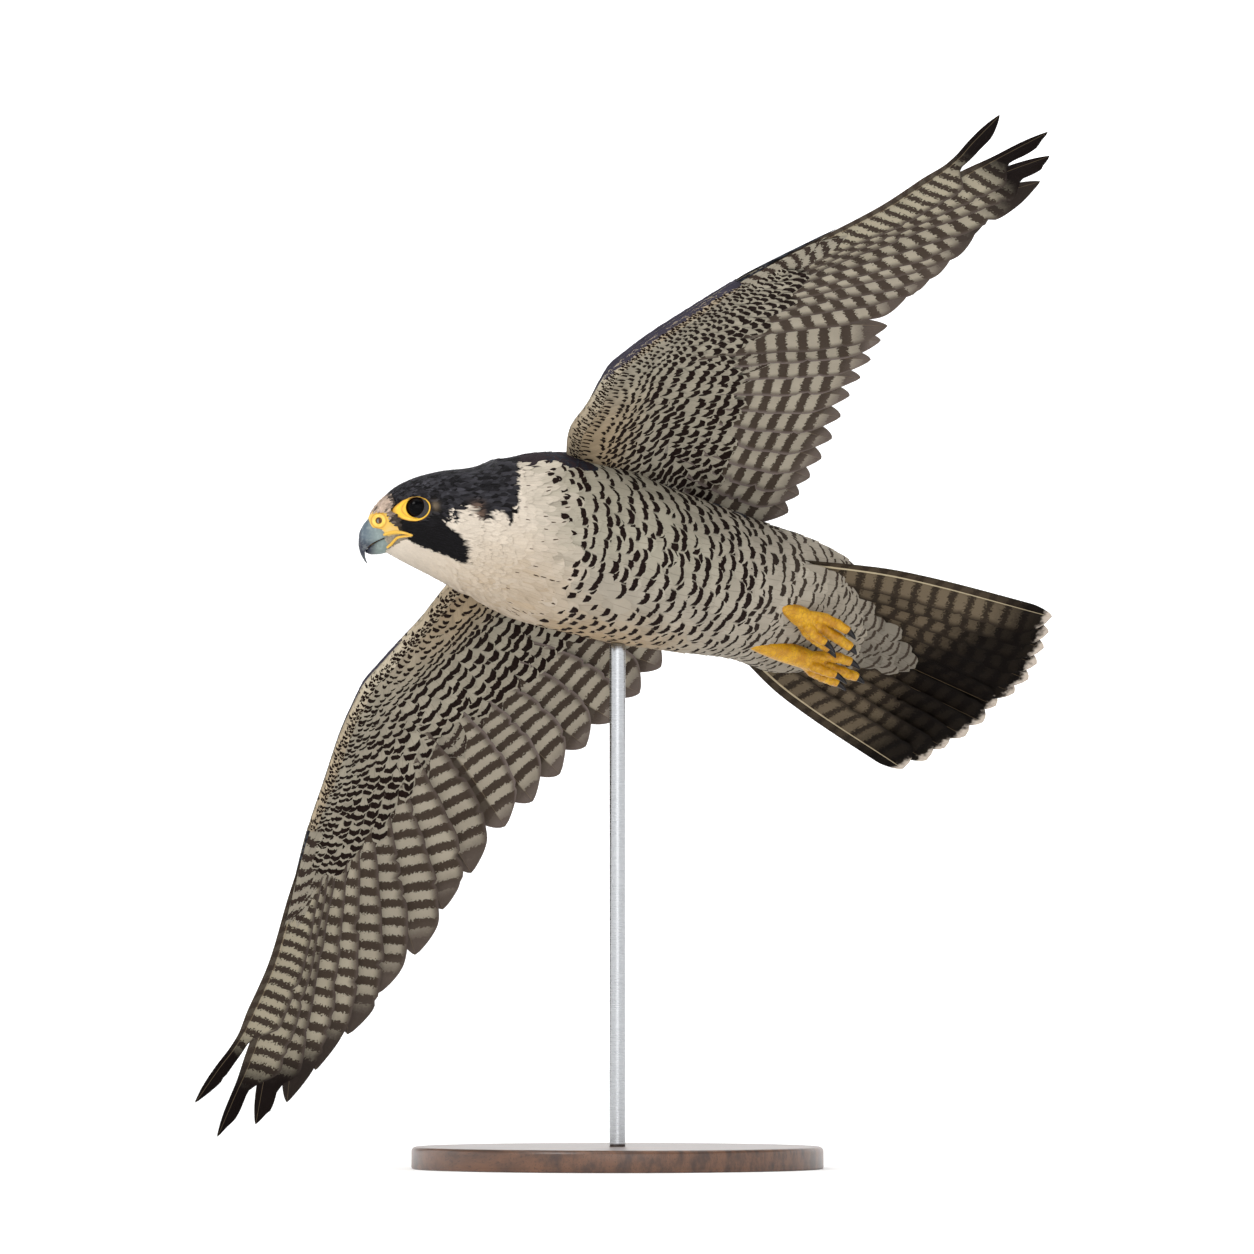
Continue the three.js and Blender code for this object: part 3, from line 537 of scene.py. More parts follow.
def vaneMaterial(name, **changes):
    own = {**feather, **changes}
    g = Graph(name)
    across, v = g.split(g.put("ShaderNodeUVMap", uv_map="Vane").outputs[0])[:2]
    x = g.minus(g.times(across, 2.0), 1.0)
    side = g.math("ABSOLUTE", x)
    where = g.vector("marks")       # place of the first mark, half its width, reach across
    run = g.vector("run")           # period, curve, softness
    trim = g.vector("trim")         # tip band, how pale the rim is, fading of the outer web
    white = (1, 1, 1, 1)
    jitter = g.times(g.minus(g.noise(700.0, 3.0), 0.5), own["ragged"])
    bow = g.times(g.times(side, side), run[1])
    turns = g.math("DIVIDE", g.minus(g.plus(g.plus(v, bow), jitter), where[0]), run[0])
    cell = g.math("ABSOLUTE", g.minus(g.math("FRACT", g.plus(turns, 0.5)), 0.5))
    bar = g.ramp(g.times(cell, run[0]), g.minus(where[1], run[2]), g.plus(where[1], run[2]), 1.0, 0.0)
    reach = g.plus(where[2], g.times(jitter, 1.5))
    spot = g.ramp(side, g.times(reach, 0.75), g.plus(reach, 0.04), 1.0, 0.0)
    outer = g.ramp(x, 0.02, 0.12, 1.0, g.minus(1.0, trim[2]))
    colour = g.blend(g.times(g.times(bar, spot), outer), g.colour("ground"), g.colour("markTone"))
    rim = g.math("MAXIMUM", g.ramp(side, 0.86, 1.0), g.ramp(v, 0.93, 1.0))
    colour = g.blend(g.times(rim, trim[1]), colour, g.colour("rimTone"))
    band = g.ramp(g.plus(v, g.times(jitter, own["bandSoft"] * 12)),
                  g.minus(trim[0], own["bandSoft"]), g.plus(trim[0], own["bandSoft"]))
    colour = g.blend(g.times(band, own["bandMix"]), colour, g.colour("tipTone"))
    fine = g.math("SINE", g.times(g.plus(g.times(v, 5.0), g.times(side, 1.6)), own["barbs"] * 2.0))
    stroke = g.plus(g.times(fine, 0.5), g.noise(2400.0, 2.0))
    shade = g.blend(g.ramp(stroke, -0.3, 1.4, 0.0, 1.0), (0.35, 0.34, 0.33, 1), white)
    colour = g.blend(0.16, colour, shade, "MULTIPLY")
    cloud = g.blend(g.ramp(g.noise(60.0, 3.0), 0.3, 0.7), (0.62, 0.60, 0.58, 1), white)
    colour = g.blend(0.20, colour, cloud, "MULTIPLY")
    shaft = own["shaft"]
    stem = g.times(g.ramp(side, shaft * 0.6, shaft, 1.0, 0.0), own["shaftMix"])
    # a negative rim weight lights the shaft instead
    paleShaft = g.math("MAXIMUM", g.times(trim[1], -1.0), 0.0)
    stem = g.math("MAXIMUM", stem, g.times(g.ramp(side, shaft * 0.8, shaft * 1.3, 1.0, 0.0), paleShaft))
    colour = g.blend(stem, colour, g.blend(paleShaft, rgba(*own["shaftTone"]), g.colour("rimTone")))
    if own["end"]:  # a pale end beyond the dark band
        torn = g.math("MULTIPLY_ADD", g.noise(260.0), 0.05, v)
        colour = g.blend(g.ramp(torn, 0.985, 1.012), colour, rgba(*own["end"]))
    g.bump(stroke, 0.35, own["depth"])
    return g.finish(colour, Roughness=own["roughness"], Sheen_Weight=0.0, Sheen_Roughness=0.45,
                    Specular_IOR_Level=own["gloss"])


coatMaterial = vaneMaterial("softFeather")
flightMaterial = vaneMaterial("flightFeather", barbs=70.0, ragged=0.035, shaft=0.07, shaftTone=(136, 120, 96),
                              shaftMix=0.35, roughness=0.55, bandSoft=0.06)
hoodMaterial = vaneMaterial("hoodFeather", roughness=0.5, shaftTone=(84, 84, 94), shaftMix=0.2, gloss=0.05)


# Vanes laid in rows over a surface

wideVane = (-1, -0.5, 0, 0.5, 1)
vaneOutline = track([(0, 0.35), (0.35, 0.88), (0.68, 1.0), (0.86, 0.92), (0.95, 0.68), (1, 0.2)])
toneNames, markNames = ("ground", "markTone", "rimTone", "tipTone"), ("marks", "run", "trim")


def layVanes(name, place, size, look, material, bakeAt, rows=4, across=(-1, 0, 1), outline=vaneOutline,
             repaint=None):
    # place(along, across, lift) gives points; size and look hold one value per vane, or one for all
    s, x, layer, faces = vaneGrid(rows, across)
    count, each = len(bakeAt), len(s)
    own = {key: np.broadcast_to(value, count)[:, None] for key, value in size.items()}
    s = 1 - (1 - s) ** (1.25 if rows < 5 else 1.6)
    along = s[None] * own["length"] * (1 - 0.05 * np.abs(x[None]) ** 2)
    side = x[None] * outline(s)[None] * (own["width"] / 2)
    a = along * np.cos(own["turn"]) - side * np.sin(own["turn"])
    b = along * np.sin(own["turn"]) + side * np.cos(own["turn"])
    lift = (own["rootLift"] * (1 - s[None]) + own["tipLift"] * s[None]
            - own["cup"] * (x[None] ** 2) * np.minimum(s[None] * 2, 1) - layer[None] * own["thick"])
    points = place(a, b, lift).reshape(-1, 3)
    allFaces = (faces[None] + (np.arange(count) * each)[:, None, None]).reshape(-1, 4)
    uv = np.tile(np.stack([(x + 1) / 2, s], -1), (count, 1))
    patch = 0.003 * np.stack([x / 2, s], -1)
    bake = (bakeAt[:, None] + patch[None]).reshape(-1, 2)
    spread = {key: np.repeat(value, each, 0) for key, value in look.items()}
    if repaint:
        repaint(points, spread, np.repeat(np.arange(count), each))
    return addMesh(name, points, allFaces, uv, bake, {key: spread[key] for key in toneNames},
                   {key: spread[key] for key in markNames}, material)


def rowsOver(sheet, first, last, spacing, cross):
    # staggered places on a sheet: the spacing of rows and of vanes may change along it
    step = np.linalg.norm(sheet.along, axis=-1).mean(1)
    length = np.concatenate([[0], np.cumsum((step[1:] + step[:-1]) / 2)])
    index, cols = np.arange(len(length)), sheet.grid.shape[1]
    here, total = np.interp([first, last], index, length)
    found, odd = [], 0
    while here < total:
        row = float(np.interp(here, length, index))
        around = np.linalg.norm(sheet.take(sheet.round, np.full(60, row), np.arange(60) * cols / 60), axis=-1)
        girth = around.mean() * cols
        count = max(6, int(round(girth / float(cross(here)))))
        cells = (np.arange(count) + 0.37 * odd) / count * cols
        gap = float(spacing(here))
        found.append(np.stack([np.broadcast_to(v, count) for v in (row, cells, gap, girth / count, odd)]))
        here += gap
        odd += 1
    return np.concatenate(found, 1)


def onSheet(sheet, k, j):  # a place function for vanes rooted at k, j
    along = np.linalg.norm(sheet.take(sheet.along, k, j), axis=-1)[:, None]
    around = np.linalg.norm(sheet.take(sheet.round, k, j), axis=-1)[:, None]

    def place(a, b, lift):
        return sheet.at(k[:, None] + a / along, j[:, None] + b / around, lift)
    return place


def inside(px, py, poly):
    hit = np.zeros(np.shape(px), bool)
    for (x0, y0), (x1, y1) in zip(poly, [poly[-1]] + poly[:-1]):
        hit ^= ((y0 > py) != (y1 > py)) & (px < (x1 - x0) * (py - y0) / (y1 - y0 + 1e-12) + x0)
    return hit


# Plumage colours by place

tones = {
    "hood": (17, 16, 17), "hoodToneAndSheen": (74, 73, 79), "forehead": (184, 164, 148), "loreToneAndHighlight": (122, 108, 88),
    "bib": (208, 197, 182), "buff": (172, 148, 116), "belly": (168, 160, 146), "flank": (164, 158, 142),
    "bar": (30, 20, 18), "greyBar": (64, 55, 48), "back": (66, 69, 77), "backBar": (38, 40, 48),
    "nape": (46, 38, 42), "vent": (158, 150, 136), "ear": (116, 94, 80), "dash": (66, 50, 42),
    "hoodRim": (64, 64, 74), "backRim": (92, 96, 106), "rumpRim": (110, 116, 124),
}
hoodOutline = [  # in profile: forward, up
    (29.5, -6), (30, 12), (0, 40), (-63.4, 48), (-63.8, 4), (-61.5, -3.5), (-60, -9), (-58, -12.5),
    (-56.8, -8), (-54.5, -3), (-50.5, -2.6), (-48.2, -3.7), (-44.4, -9.9), (-41.9, -7.4), (-40.2, -9),
    (-38, -5), (-35.4, 0), (-32.6, 1.8), (-28.5, -2.6), (-25, -5.4), (-21.5, -8), (-17.5, -9.3),
    (-20.5, -13), (-26, -16.3), (-30.1, -20.5), (-32.2, -24.9), (-32.4, -28.9), (-30.6, -34.8),
    (-24.4, -33.2), (-16.3, -28.9), (-8.1, -26.5), (0, -23.3), (6.2, -20), (4.0, -18.0), (8, -16.6),
    (17, -12), (22, -7)]
neckRows = 17  # rings behind the head that hood feathers may still grow from


def tone(name):
    return srgb(*tones[name])[None]


def columns(count, *values):
    return np.stack([np.broadcast_to(value, count) for value in values], -1)


def blank(count, ground, mark, rim=None, marks=(0.8, 0, 0), run=(5, 0, 0.03), trim=(2, 0, 0)):
    each = {"ground": srgb(*ground), "markTone": srgb(*mark), "rimTone": srgb(*(rim or ground)),
            "tipTone": srgb(*ground), "marks": marks, "run": run, "trim": trim}
    return {key: np.ones((count, 1)) * np.array(value, float) for key, value in each.items()}


def shadeVanes(look, amount):  # each feather a little lighter or darker than the next
    count = len(look["ground"])
    look["ground"] = np.clip(look["ground"] * (1 + amount * dice.normal(0, 1, (count, 1))), 0, 1)


def hindNeck(f, u, y):  # the dark band down the back of the neck
    return (u > 25.5 - 0.33 * (f + 63)) & (y < 40)


def bodyLook(points, normals, k, number, length, gap):
    # colours and marks of body feathers by the place of their roots
    count = len(points)
    f, l, u = profile(points)
    y, leftward, up = points[:, 1], normals[:, 0], normals[:, 2]
    look = blank(count, tones["belly"], tones["bar"])
    edge = bell(count)
    hood = inside(f + edge * 0.4, u + dice.normal(0, 0.4, count), hoodOutline) & (k < ringCounts["head"] + neckRows)
    back = ((up > 0.50 + 0.03 * edge) | ((up > 0.1 + 0.04 * edge) & (y < 45) & (l < -4) & (u > 6))) & ~hood
    back &= (k > ringCounts["head"] + 6)
    back |= (f < -57) & (f > -100) & hindNeck(f, u, y) & ~hood
    # the plain bib ends earlier on the left flank than under the breast
    bibEnd = mix(30, 8, smooth(-0.25, 0.85, leftward))
    bib = np.where(y < 0, 1.0, 1 - smooth(bibEnd - 4, bibEnd + 6, y + 3 * edge))
    bib = np.where(k < ringCounts["head"] + ringCounts["neck"] - 4, 1.0, bib)
    pale = 1 - smooth(bibEnd - 20, bibEnd + 24, y + 4 * edge)
    warm = smooth(-0.2, 0.6, -leftward) * (1 - smooth(90, 170, y))
    low = smooth(-4, -56, points[:, 2] + 0.4 * points[:, 0])
    for name, amount in (("flank", smooth(0.1, 0.8, leftward) * (1 - smooth(90, 190, y))), ("buff", 0.8 * warm),
                         ("bib", pale), ("buff", 0.5 * pale * low * np.clip(1 + 0.2 * edge, 0, 2)),
                         ("vent", smooth(205, 240, y) * (up < 0.3))):
        look["ground"] = mix(look["ground"], tone(name), amount[:, None])
    look["markTone"] = mix(look["markTone"], tone("greyBar"), smooth(150, 215, y)[:, None])
    # every other row carries a bar: spots on the breast, full bands on belly and flanks
    band = smooth(2, 30, y - bibEnd)
    band = band * (1 - 0.72 * smooth(-0.35, 0.45, -leftward) * (1 - smooth(130, 200, y)))
    rightward = smooth(-0.25, 0.5, -leftward)
    thick = mix(3.7, mix(3.7, 2.3, rightward), smooth(40, 110, y))
    thick = mix(thick, 1.8, smooth(160, 235, y)) * np.clip(1 + 0.24 * bell(count), 0.5, 1.6)
    thick = thick * smooth(0, 5.5, gap) * mix(1.12, 1, band)
    reach = mix(mix(0.62, 0.50, rightward), 1.05, np.clip(band + 0.28 * bell(count), 0, 1))
    place = 1 - (0.46 * gap + mix(0.8, 0.6, band) * bell(count)) / length
    look["marks"] = columns(count, place, thick / 2 / length, reach)
    look["run"] = columns(count, 5.0, mix(0.0, 0.04, band), 0.22 / length)
    dropped = dice.random(count) < mix(0.12, 0.03, band)
    plain = ((number % 2 == 1) & (gap < 7.0)) | dropped | (bib > 0.5)
    look["marks"][plain] = [0.8, -0.05, 0.0]
    look["run"][plain, 2] = 0.0001
    streak = (bib > 0.5) & (dice.random(count) < np.clip(0.008 * gap * gap, 0, 0.4) * smooth(46, 60, k))
    look["marks"][streak] = columns(count, 0.85, 1.3 / length, 0.16)[streak]
    look["run"][streak] = [5.0, 0.0, 0.02]
    look["markTone"][streak] = tone("dash")
    # slate back with darker bars and pale rims
    look["ground"][back] = mix(tone("nape"), tone("back"), smooth(40, 95, y)[:, None])[back]
    for key, value in (("markTone", tone("backBar")), ("rimTone", tone("backRim")), ("marks", [0.62, 0.08, 1.3]),
                       ("run", [0.34, 0.06, 0.05])):
        look[key][back] = value
    look["trim"][back, 1] = 0.35
    shadeVanes(look, (0.055 - 0.03 * bib)[:, None])
    return look, back


def paintHead(points, spread, vane):
    # hood and bib meet along a line that every point of a feather is tested against
    f, _, u = profile(points)
    y = points[:, 1]
    shake = dice.normal(0, 1.0, vane[-1] + 1)[vane]
    shake = shake * (1 + 2.2 * np.exp(-((f + 30) / 12) ** 2 - ((u + 3) / 9) ** 2))
    dark = inside(f + shake, u + 0.7 * shake, hoodOutline) & (y < 30)
    nape = (f < -56) & (f > -104) & hindNeck(f, u + 1.6 * shake, y) & ~dark
    near = bell(vane[-1] + 1)[vane]
    dark = dark | nape
    front = smooth(16, 19.5, f) * smooth(-3, 1, u) * smooth(10, 6, u + near)
    # pale lores in front of the eye, and a painted highlight in a small patch behind it
    loreToneAndHighlight = (smooth(8.5, 15, f) * smooth(2, -4, u)
            + np.exp(-((f + 11.5) / 2.2) ** 2 - ((u - 1.0) / 2.6) ** 2))
    curl = np.exp(-((f + 38) / 4.5) ** 4 - ((u + 2.5) / 6.5) ** 4)
    ground = tone("hood")
    # the hood's lighter colour is its slate tone with a painted sheen, stronger towards the top of the head
    for name, amount in (("hoodToneAndSheen", np.clip(0.26 + 0.28 * near, 0, 1) * smooth(-16, 12, u)),
                         ("nape", nape * 1.0),
                         ("forehead", 0.85 * front * np.clip(0.8 + 0.3 * near, 0, 1)),
                         ("ear", curl * np.clip(0.45 + 0.45 * near, 0, 1)),
                         ("loreToneAndHighlight", 0.75 * loreToneAndHighlight)):
        ground = mix(ground, tone(name), amount[:, None])
    spread["ground"] = np.where(dark[:, None], ground, spread["ground"])
    spread["rimTone"] = np.where(dark[:, None], tone("hoodRim"), spread["rimTone"])
    for key, axis, value in (("trim", 1, 0.10), ("marks", 1, -0.05), ("run", 2, 0.0001)):
        spread[key][:, axis] = np.where(dark, value, spread[key][:, axis])


# Coat of the body

coat = {"overlap": (3.4, 2.7), "wide": 1.75, "jitter": 0.12, "turn": 0.09, "cup": 0.04, "thick": 0.15}
alongBody = np.concatenate([[0], np.cumsum((np.linalg.norm(body.along, axis=-1).mean(1)[1:]))])
neckAt = float(alongBody[ringCounts["head"]])
torsoAt = float(alongBody[ringCounts["head"] + ringCounts["neck"]])
headPlaces = (0, neckAt * 0.5, neckAt, torsoAt)


def alongCoat(head, *torso):  # a size along the coat: at four places of the head and neck, then behind the neck
    return track(list(zip(headPlaces, head)) + [(torsoAt + at, value) for at, value in torso])


rowSpacing = alongCoat((1.5, 1.9, 2.6, 5.0), (12, 8.4), (30, 9.6), (60, 10.4), (130, 10.0), (200, 8.4), (300, 7.4))
crossSpacing = alongCoat((0.9, 1.1, 1.5, 3.4), (12, 5.8), (34, 6.6), (60, 7.4), (180, 7.4), (300, 6.4))
coatDepth = alongCoat((0.45, 0.55, 0.8, 1.0), (60, 1.4), (300, 1.4))


def eyeArea(f, u, grow):  # the bare skin round the eye, in profile
    back = f < 1.5
    reachF = np.where(back, 9.8, 14.4) + grow
    taper = np.where(back, 1.0, 1 - 0.45 * np.clip((f - 1.5) / 14, 0, 1))
    reachU = np.where(u > -0.9, 7.1, 7.9) + grow
    return ((f - 1.5) / reachF) ** 2 + ((u + 0.9 + 0.08 * np.maximum(f, 0)) / (reachU * taper)) ** 2 < 1


def bodyCoat():
    k, j, gap, wide, number = rowsOver(body, 0.0, len(bodyGrid) - 4, rowSpacing, crossSpacing)
    k = k + dice.normal(0, 0.10, len(k)) * gap / np.linalg.norm(body.take(body.along, k, j), axis=-1)
    points, normals = body.at(k, j), body.take(body.normal, k, j)
    f, l, u = profile(points)
    large = smooth(4, 9, gap)
    length = gap * mix(*coat["overlap"], large) * (1 + coat["jitter"] * mix(1, 0.3, large) * bell(len(k)))
    none = np.zeros((len(k), 1))
    tips = profile(onSheet(body, k, j)(length[:, None], none, none)[:, 0])
    nearFace = k < ringCounts["head"]
    keep = ~(nearFace & (eyeArea(f, u, 0.4) | eyeArea(tips[0], tips[2], -0.4)) & (np.abs(l) > 9))
    atMouth = (f > 4) & (u < -15.2 - 0.02 * f) & (u > -18.0 - 0.55 * (f - 5)) & (np.abs(l) > 3)
    x, y = np.abs(points[:, 0]), points[:, 1]
    underWing = (x > 30) & (y > 40) & (y < 190) & (np.abs(points[:, 2] - wingPoint("left", x, y, 0.0)[:, 2]) < 9)
    keep &= ~(nearFace & atMouth) & ~underWing
    k, j, gap, wide, number, length, points, normals = [
        q[keep] for q in (k, j, gap, wide, number, length, points, normals)]
    deep = coatDepth(np.interp(k, np.arange(len(alongBody)), alongBody))
    look, back = bodyLook(points, normals, k, number, length, gap)
    count, y = len(k), points[:, 1]
    size = {
        "length": length, "width": wide * coat["wide"] * (1 + 0.08 * bell(count)),
        "turn": coat["turn"] * bell(count),
        "rootLift": -deep, "tipLift": 0.12 * deep * bell(count) - 0.05 * deep, "cup": coat["cup"] * wide,
        "thick": np.full(count, coat["thick"]),
    }
    bakeAt = columns(count, 0.02 + 0.94 * (j / sideCount) % 1.0, 0.02 + 0.95 * k / len(bodyGrid))
    head, torso = k < ringCounts["head"] * 0.5, k >= ringCounts["head"] + ringCounts["neck"] * 0.4
    groups = {
        "faceCoat": head, "headCoat": ~head & ~torso,
        "breastCoat": torso & (y < 100) & ~back, "bellyCoat": torso & (y >= 100) & (y < 214) & ~back,
        "ventCoat": torso & (y >= 214) & ~back, "backCoat": torso & back,
    }
    for name, pick in groups.items():
        small = name in ("headCoat", "faceCoat")
        piece = layVanes(name, onSheet(body, k[pick], j[pick]), {key: value[pick] for key, value in size.items()},
                         {key: value[pick] for key, value in look.items()}, hoodMaterial if small else coatMaterial,
                         bakeAt[pick], 4 if small else 7, (-1, 0, 1) if small else wideVane,
                         repaint=None if name in ("bellyCoat", "ventCoat") else paintHead)
        print(name, int(pick.sum()), "feathers")
        dress(piece, "hood" if small else "plumage")


bodyCoat()


# Skin: one closed sheet inside the feathers

legs = {"path": [(25, 182, -26), (21, 196, -33), (18, 207, -37), (16, 216, -40)], "radii": [8, 10, 6.5, 4.0]}
skinPlan = {"under": 1.3, "legShrink": 2.0, "wingShrink": 2.4, "voxel": 0.0019, "dark": (40, 38, 42),
            "pale": (150, 142, 126), "underWing": (120, 112, 98)}
wingTones = {
    "under": (162, 155, 139), "underBar": (30, 20, 17), "lesser": (164, 146, 120), "greater": (152, 145, 130),
    "greaterBar": (58, 48, 42), "upper": (76, 80, 88), "upperBar": (46, 48, 54), "upperRim": (112, 115, 121),
    "edge": (64, 61, 72), "edgePale": (186, 176, 156),
}


def legRings(side):
    t, fine = np.linspace(0, 1, 4), np.linspace(0, 1, 14)
    path = np.stack([track(zip(t, axis))(fine) for axis in zip(*legs["path"])], -1) * (side, 1, 1)
    radii = np.maximum(track(zip(t, legs["radii"]))(fine) - skinPlan["legShrink"], 1.5)
    rings = []
    for i, p in enumerate(path):
        way = unit(path[min(i + 1, len(path) - 1)] - path[max(i - 1, 0)])
        across = unit(np.array([1.0, 0, 0]) - way * way[0])
        rings.append(ovalRing(p, across, np.cross(way, across), radii[i], radii[i], radii[i], 24, 2.0))
    return np.array(rings)


def fleshRings(side):
    rings, shrink, turn = [], skinPlan["wingShrink"], fullTurn(28)
    s = (1 - np.cos(turn)) / 2
    for x in np.linspace(34, 244, 40):
        half = (float(fleshThick(x)) / 2 - shrink) * np.sin(turn) * (1.25 - 0.55 * s)
        rings.append(wingPoint(side, x, leadingEdge(x) + shrink + s * (float(fleshChord(x)) - shrink), half))
    return np.array(rings)


def skinPiece():
    inner = body.grid - body.normal * (skinPlan["under"] * coatDepth(alongBody[:, None]) + 0.3)[..., None]
    parts = [inner[1:-2]] + [legRings(side) for side in (1, -1)] + [fleshRings(side) for side in sides]
    piece = melt("skin", [closedLoft(grid) for grid in parts], skinPlan["voxel"], 3)
    mesh = piece.data
    places = np.empty(len(mesh.vertices) * 3, np.float32)
    mesh.vertices.foreach_get("co", places)
    points = (places.reshape(-1, 3) * 1000 - np.array(pose["place"])) @ birdTurn
    f, _, u = profile(points)
    x, y = np.abs(points[:, 0]), points[:, 1]
    dark = inside(f, u, hoodOutline) & (y < 20)
    ground = np.where(dark[:, None], srgb(*skinPlan["dark"]), srgb(*skinPlan["pale"]))
    upper = points[:, 2] > wingPoint("left", x, y, 0.0)[:, 2]
    onWing = np.where(upper[:, None], srgb(*wingTones["upper"]), srgb(*skinPlan["underWing"]))
    paint(mesh, "ground", np.where(((y > 20) & (x > 50))[:, None], onWing, ground))
    g = Graph("downySkin")
    soft, ground = g.noise(900.0, 4.0), g.colour("ground")
    g.bump(soft, 0.5, 0.0006)
    shaded = g.blend(1.0, ground, (0.6, 0.58, 0.55, 1), "MULTIPLY")
    mesh.materials.append(g.finish(g.blend(g.ramp(soft, 0.3, 0.75), shaded, ground), Roughness=0.8,
                                   Sheen_Weight=0.2))
    print("skin", len(mesh.polygons), "faces")
    dress(piece, "plumage", "torso", "neck", "head", "leg_left", "leg_right")


skinPiece()


# Wing coverts

wingCoat = {
    "rows": {-1: (4.1, 9.8), 1: (4.5, 9.0)}, "cross": {-1: (3.7, 6.2), 1: (5.0, 10.0)}, "first": {-1: 1.6, 1: 2.6},
    "overlap": (3.2, 2.5), "wide": 1.7, "thick": 0.2, "greaterLift": 2.4,
    "greaterOutline": track([(0, 0.5), (0.3, 0.9), (0.75, 1.0), (0.9, 0.8), (0.97, 0.45), (1, 0.1)]),
}
faceNames = {-1: "under", 1: "upper"}
upperTrim = (2.0, 0.4, 0.0)
rootLine = track([(30, 96), (74, 82), (144, 27), (158, 15), (234, 20), (250, 22)])


def directionAt(side, x):  # plan direction of the feathers at a distance out along the wing
    pairs = sorted((f["root"][0], math.atan2(*(f["tip"] - f["root"]))) for f in wingFeathers(side))
    kept = [pairs[0]]
    for p in pairs[1:]:
        if p[0] > kept[-1][0] + 3:
            kept.append(p)
    angle = track(kept)(np.clip(x, 60, 240))
    return np.stack([np.sin(angle), np.cos(angle)], -1)


def onPlan(x, y, way, a, b, least):  # plan place of points along and across each feather
    px = x[:, None] + way[:, 0:1] * a + way[:, 1:2] * b
    py = y[:, None] + way[:, 1:2] * a - way[:, 0:1] * b
    return px, np.maximum(py, leadingEdge(px) + least)


def smallCoverts(side, face):
    rows, odd, aft = [], 0, wingCoat["first"][face]
    while aft < 128:
        far = float(smooth(0, 52, aft))
        step, wide = mix(*wingCoat["rows"][face], far), mix(*wingCoat["cross"][face], far)
        x = np.arange(33 + 0.37 * odd * wide % wide, 262, wide)
        long = np.interp(x, [40, 80, 144, 160, 200, 234, 250], [150, 150, 150, 158, 190, 236, 240])
        part = np.interp(x, [40, 144, 160, 200, 234, 262], [0.42, 0.42, 0.36, 0.27, 0.17, 0.12])
        x = x[aft < rootLine(x) - leadingEdge(x) + long * part]
        rows.append(columns(len(x), x, leadingEdge(x) + aft, step, wide))
        aft += step
        odd += 1
    x, y, gap, wide = np.concatenate(rows).T
    count = len(x)
    x = x + dice.normal(0, 0.06, count) * wide
    y = y + dice.normal(0, 0.08, count) * gap
    aft = y - leadingEdge(x)
    slope = (leadingEdge(x + 1) - leadingEdge(x - 1)) / 2
    turnOut = (0.62 * (1 - smooth(0, 22, aft)) + 0.18 * (1 - smooth(0, 60, aft)))[:, None]
    way = unit(directionAt(side, x) * (1 - turnOut) + unit(columns(count, 1.0, slope)) * turnOut)
    length = gap * mix(*wingCoat["overlap"], smooth(3, 9, gap)) * (1 + 0.035 * bell(count))
    size = {
        "length": length, "width": wide * wingCoat["wide"] * (1 + 0.08 * bell(count)), "turn": 0.08 * bell(count),
        "rootLift": -0.22 * gap, "tipLift": 0.03 * gap * bell(count), "cup": 0.05 * gap, "thick": wingCoat["thick"],
    }
    if face < 0:
        look = blank(count, wingTones["under"], wingTones["underBar"])
        near = (1 - smooth(12, 48, aft)) * (1 - smooth(60, 150, x))
        look["ground"] = mix(look["ground"], srgb(*wingTones["lesser"])[None], near[:, None])
        far = smooth(12, 40, aft + 0.10 * (x - 100) + 3 * bell(count))
        thick = mix(2.1, 4.5, smooth(4, 48, aft)) * (1 + 0.16 * bell(count))
        look["marks"] = columns(count, 1 - (0.50 * gap + 0.2 * bell(count)) / length, thick / 2 / length,
                                mix(1.0, 1.3, far) * (1 + 0.2 * bell(count)))
        look["run"] = columns(count, 5.0, mix(0.0, 0.04, far), 0.2 / length)
    else:
        look = blank(count, wingTones["upper"], wingTones["upperBar"], wingTones["upperRim"],
                     (0.62, 0.10, 1.3), (0.38, 0.05, 0.06), upperTrim)
    shadeVanes(look, 0.05)

    def place(a, b, lift):
        px, py = onPlan(x, y, way, a, b, -0.15)
        return wingPoint(side, px, py, wingSkin(face, px, py) + face * lift)

    bakeAt = columns(count, (0.0 if face < 0 else 0.5) + 0.01 + 0.46 * x / 300, 0.02 + 0.9 * y / 200)
    name = f"{faceNames[face]}Coverts_{side}"
    print(name, count, "feathers")
    return layVanes(name, place, size, look, coatMaterial, bakeAt, 6)


